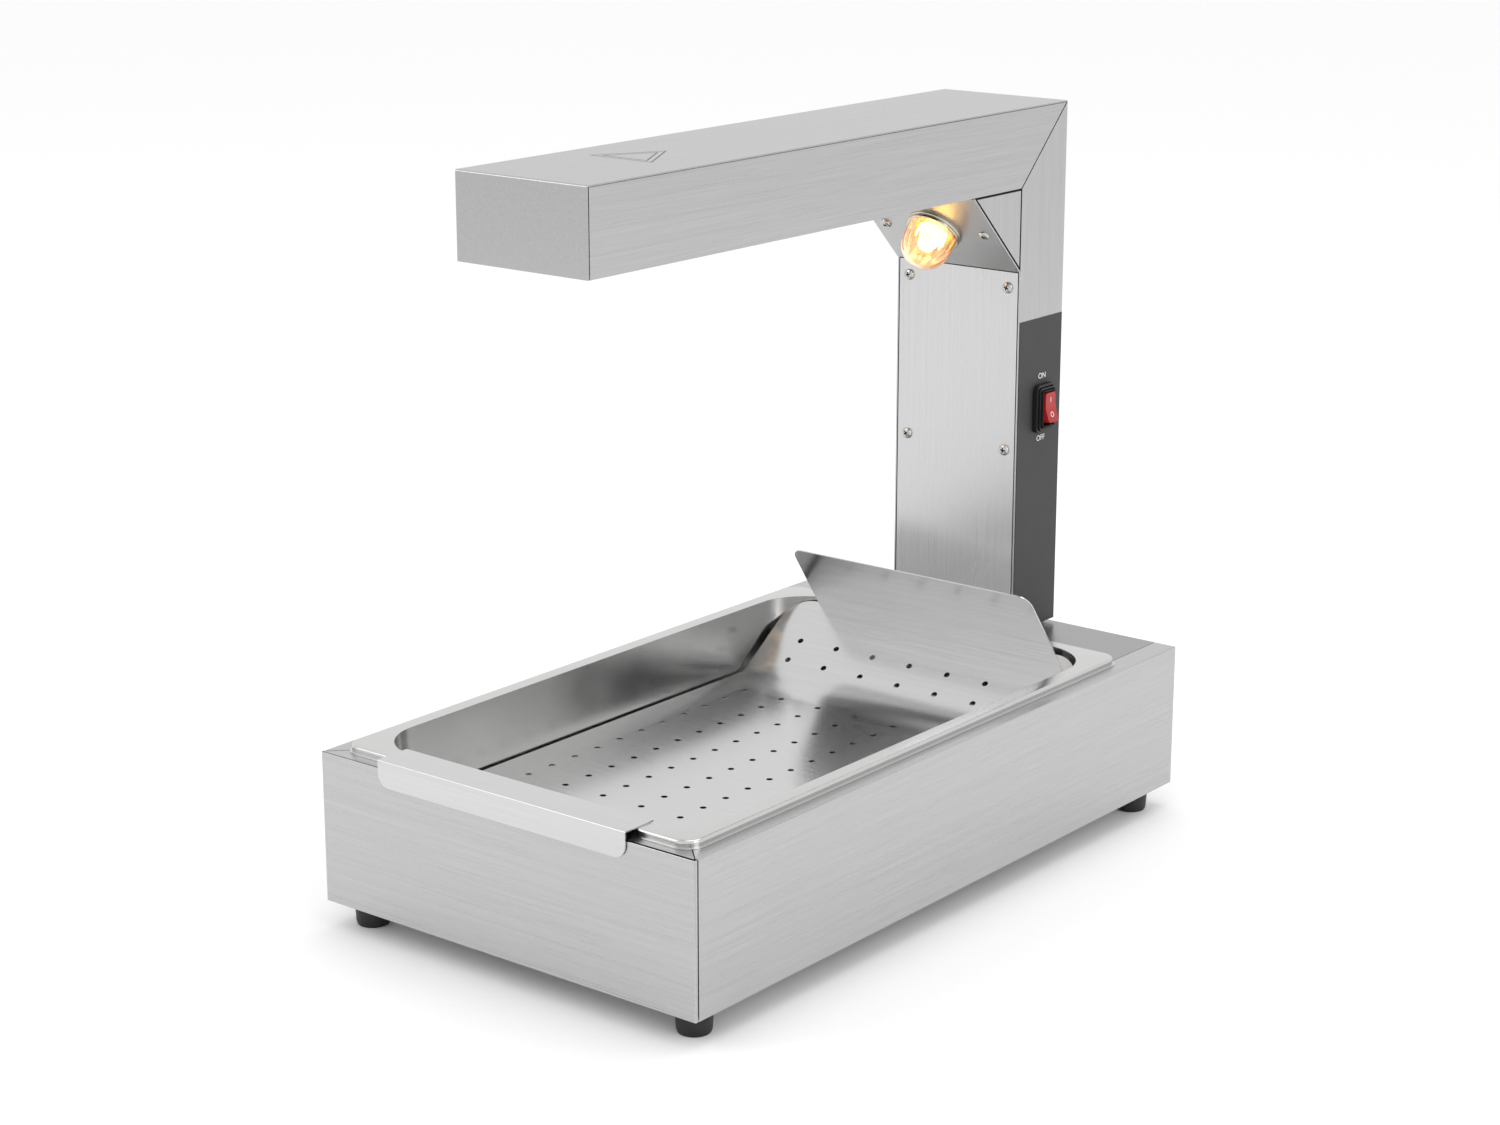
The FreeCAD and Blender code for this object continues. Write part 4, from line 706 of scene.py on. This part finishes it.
# open coils of resistance wire down the two quartz tubes
def makeHeaterCoils():
    low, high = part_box("heater_coils")
    radius = (high.z - low.z) / 2
    centreZ = (low.z + high.z) / 2
    turns = (high.y - low.y) / (heater["pitch"] * mm)
    steps = int(turns * heater["stepsPerTurn"])
    coil = heater["coil"] * mm
    for side, x in (("left", low.x + radius), ("right", high.x - radius)):
        points = []
        for k in range(steps + 1):
            angle = k / heater["stepsPerTurn"] * math.tau
            points.append((x + coil * math.cos(angle), low.y + (high.y - low.y) * k / steps,
                           centreZ + coil * math.sin(angle)))
        curvePiece(side + "HeaterCoil", points, heater["wire"] * mm, "heaterWire", "stand",
                   ["heater_coils"], sides=0)


boot = {
    "corner": 5.0,
    # rise of each step in mm, then its share of the way in to the opening
    "steps": ((4.6, 1.3), (-1.1, 0.5), (2.6, 1.0), (-1.0, 0.5), (2.4, 0.9)),
    "opening": 14.9,  # mm wide
}


def raised(bm, face, rise):
    made = bmesh.ops.extrude_discrete_faces(bm, faces=[face])["faces"][0]
    bmesh.ops.translate(bm, verts=made.verts, vec=(0, 0, rise))
    return made


# the ribbed rubber boot: one rounded block, stepped in towards the rocker, open in the middle
def makeBoot():
    low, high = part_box("switch_boot")
    wide, tall = high.y - low.y, high.z - low.z
    bm = bmesh.new()
    bmesh.ops.create_grid(bm, x_segments=1, y_segments=1, size=0.5)
    bmesh.ops.scale(bm, verts=bm.verts, vec=(wide, tall, 1))
    bmesh.ops.bevel(bm, geom=list(bm.verts), offset=boot["corner"] * mm, affect="VERTICES", segments=7,
                    profile=0.5, material=-1)
    base = bm.faces[:][0]
    block = bmesh.ops.extrude_face_region(bm, geom=[base])["geom"]
    top = [item for item in block if isinstance(item, bmesh.types.BMFace)][0]
    scale = (wide - boot["opening"] * mm) / 2 / sum(share for rise, share in boot["steps"])
    for count, (rise, share) in enumerate(boot["steps"]):
        if count:
            top = raised(bm, top, rise * mm)
        else:
            bmesh.ops.translate(bm, verts=top.verts, vec=(0, 0, rise * mm))
        bmesh.ops.inset_region(bm, faces=[top], thickness=share * scale, use_even_offset=True)
    top = raised(bm, top, -sum(rise for rise, share in boot["steps"]) * mm)
    # the opening goes right through, so both ends of it lose their face
    bmesh.ops.delete(bm, geom=[face for face in (top, base) if face.is_valid], context="FACES_ONLY")
    rims = [edge for edge in bm.edges if edge.is_boundary]
    bmesh.ops.bridge_loops(bm, edges=rims)
    bmesh.ops.remove_doubles(bm, verts=bm.verts, dist=edgeWork["touching"])
    bmesh.ops.recalc_face_normals(bm, faces=bm.faces)
    place = Matrix.Translation((low.x, (low.y + high.y) / 2, (low.z + high.z) / 2)) @ faceRight
    newPiece(bm, "ribbedBoot", "bootRubber", "stand", ["switch_boot"], place, smooth=50,
             ease=0.35)


lettering = {
    # text: height of the capitals, stretch, rise above the switch's middle, all in mm
    "ON": (4.7, 1.05, 25.8),
    "OFF": (4.7, 1.05, -25.2),
    "markHeight": 4.4,
    "capitalShare": 0.73,  # height of the font's capitals for a size of 1
    "thickness": 0.04, "proudPrint": 0.03, "proudMark": 0.05,
}


def textMesh(words, height, stretch):
    curve = bpy.data.curves.new(words, "FONT")
    curve.body = words
    curve.size = height * mm / lettering["capitalShare"]
    curve.align_x = "CENTER"
    curve.align_y = "CENTER"
    curve.extrude = lettering["thickness"] * mm
    bm = bmesh.new()
    bm.from_mesh(bakedMesh(inScene(words, curve)))
    bmesh.ops.scale(bm, verts=bm.verts, vec=(stretch, 1, 1))
    return bm


def makeLettering():
    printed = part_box("side_overlay")[1].x + lettering["proudPrint"] * mm
    switch = middle("switch_boot")
    for words in ("ON", "OFF"):
        height, stretch, rise = lettering[words]
        place = Matrix.Translation((printed, switch.y, switch.z + rise * mm)) @ faceRight
        newPiece(textMesh(words, height, stretch), words.lower() + "Print", "whiteInk", "stand",
                 matrix=place)


# the two halves of the rocker's face, the largest that look outwards, each with its mark
def makeRockerMarks():
    bm = flatMerged("switch_rocker")
    facing = [face for face in bm.faces if face.normal.x > 0.9]
    halves = sorted(facing, key=lambda face: face.calc_area())[-2:]
    spots = [(face.calc_center_median().copy(), face.normal.copy()) for face in halves]
    spots.sort(key=lambda spot: -spot[0].z)
    bm.free()
    for words, (centre, normal) in zip(("I", "O"), spots):
        up = (Vector((0, 0, 1)) - normal * normal.z).normalized()
        across = up.cross(normal)
        turn = Matrix((across, up, normal)).transposed().to_4x4()
        place = Matrix.Translation(centre + normal * lettering["proudMark"] * mm) @ turn
        newPiece(textMesh(words, lettering["markHeight"], 1.0), "rockerMark" + words, "whiteInk", "rocker",
                 matrix=place)


# all in mm; forward is from the cover's front edge to the middle of the triangles
mark = {
    "radius": 33.0, "inner": 24.0, "line": 1.2,
    "skin": 0.05, "proud": 0.02,
    "forward": 122.0, "left": 4.0,
}


# two plain triangles etched into the top of the arm, with no lettering in them
def makeEtchedMark():
    low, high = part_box("arm_cover")
    bm = bmesh.new()
    for radius in (mark["radius"], mark["inner"]):
        # a triangle's side is half as far from the middle as its corner
        for reach in (radius, radius - 2 * mark["line"]):
            bmesh.ops.create_circle(bm, segments=3, radius=reach * mm)
        rims = [edge for edge in bm.edges if edge.is_wire]
        band = bmesh.ops.bridge_loops(bm, edges=rims)["faces"]
        lid = bmesh.ops.extrude_face_region(bm, geom=band)["geom"]
        lift = [item for item in lid if isinstance(item, bmesh.types.BMVert)]
        bmesh.ops.translate(bm, verts=lift, vec=(0, 0, mark["skin"] * mm))
    bmesh.ops.recalc_face_normals(bm, faces=bm.faces)
    bmesh.ops.translate(bm, verts=bm.verts, vec=(0, 0, (mark["proud"] - mark["skin"]) * mm))
    newPiece(bm, "etchedTriangle", "etchedSteel", "stand",
             matrix=Matrix.Translation((-mark["left"] * mm, low.y + mark["forward"] * mm, high.z)))


gland = {
    "flutes": 20, "fluteDepth": 0.035,
    # the rest in mm
    "bore": 4.02, "thread": 7.95, "threadDepth": 0.5, "threads": 4, "threadPitch": 2.0, "threadStart": 0.8,
    "wall": 9.2,  # from the inner end to the column's skin
    "shoulder": 11.1, "shoulderTall": 4.6, "shoulderSlope": 0.6,
    "cap": 9.2, "fluteStop": 2.2, "fluteInside": 8,  # flutes end short of the throat and outside this radius
    # the end of the cap: radius, then how far it stands back from the throat
    "nose": ((9.2, 5.6), (8.6, 2.6), (6.6, 0.3), (5.4, 0)),
}


# the cable gland: a threaded end in the wall, a round shoulder, a ribbed cap and a throat
def makeGland():
    low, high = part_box("cable_gland")
    reach = (high.y - low.y) / mm
    bore, thread, wall, cap = gland["bore"], gland["thread"], gland["wall"], gland["cap"]
    outline = [(bore, 0), (thread, 0)]
    for turn in range(gland["threads"]):
        start = gland["threadStart"] + gland["threadPitch"] * turn
        outline += [(thread - gland["threadDepth"], start), (thread, start + gland["threadPitch"] / 2)]
    capStart = wall + gland["shoulderTall"] + gland["shoulderSlope"]
    outline += [(thread, wall), (gland["shoulder"], wall), (gland["shoulder"], wall + gland["shoulderTall"]),
                (cap, capStart), (cap, capStart + 0.8)]
    outline += [(radius, reach - back) for radius, back in gland["nose"]]
    outline += [(bore, reach - 0.6), (bore, 0)]
    bm = turned(softened(outline, 0.5, 3), 80)

    def capBite(radius, height, angle):
        onCap = capStart - 0.1 < height < reach - gland["fluteStop"] and radius > gland["fluteInside"]
        return gland["fluteDepth"] * groove(gland["flutes"], angle) if onCap else 0

    fluted(bm, capBite)
    centre = middle("cable_gland")
    newPiece(bm, "ribbedGland", "blackNylon", "stand", ["cable_gland"],
             standing(Vector((centre.x, low.y, centre.z)), (0, 1, 0)))


makeCamera()
makeStudio()
print("camera and studio ready")
makeSheetWork()
paintPlainNodes()
print("sheet work ready")
makeScrews()
makeLamp()
makeHeaterCoils()
print("fasteners, lamp and heater ready")
makeBoot()
makeLettering()
makeRockerMarks()
makeEtchedMark()
makeGland()
print("switch, marks and gland ready")
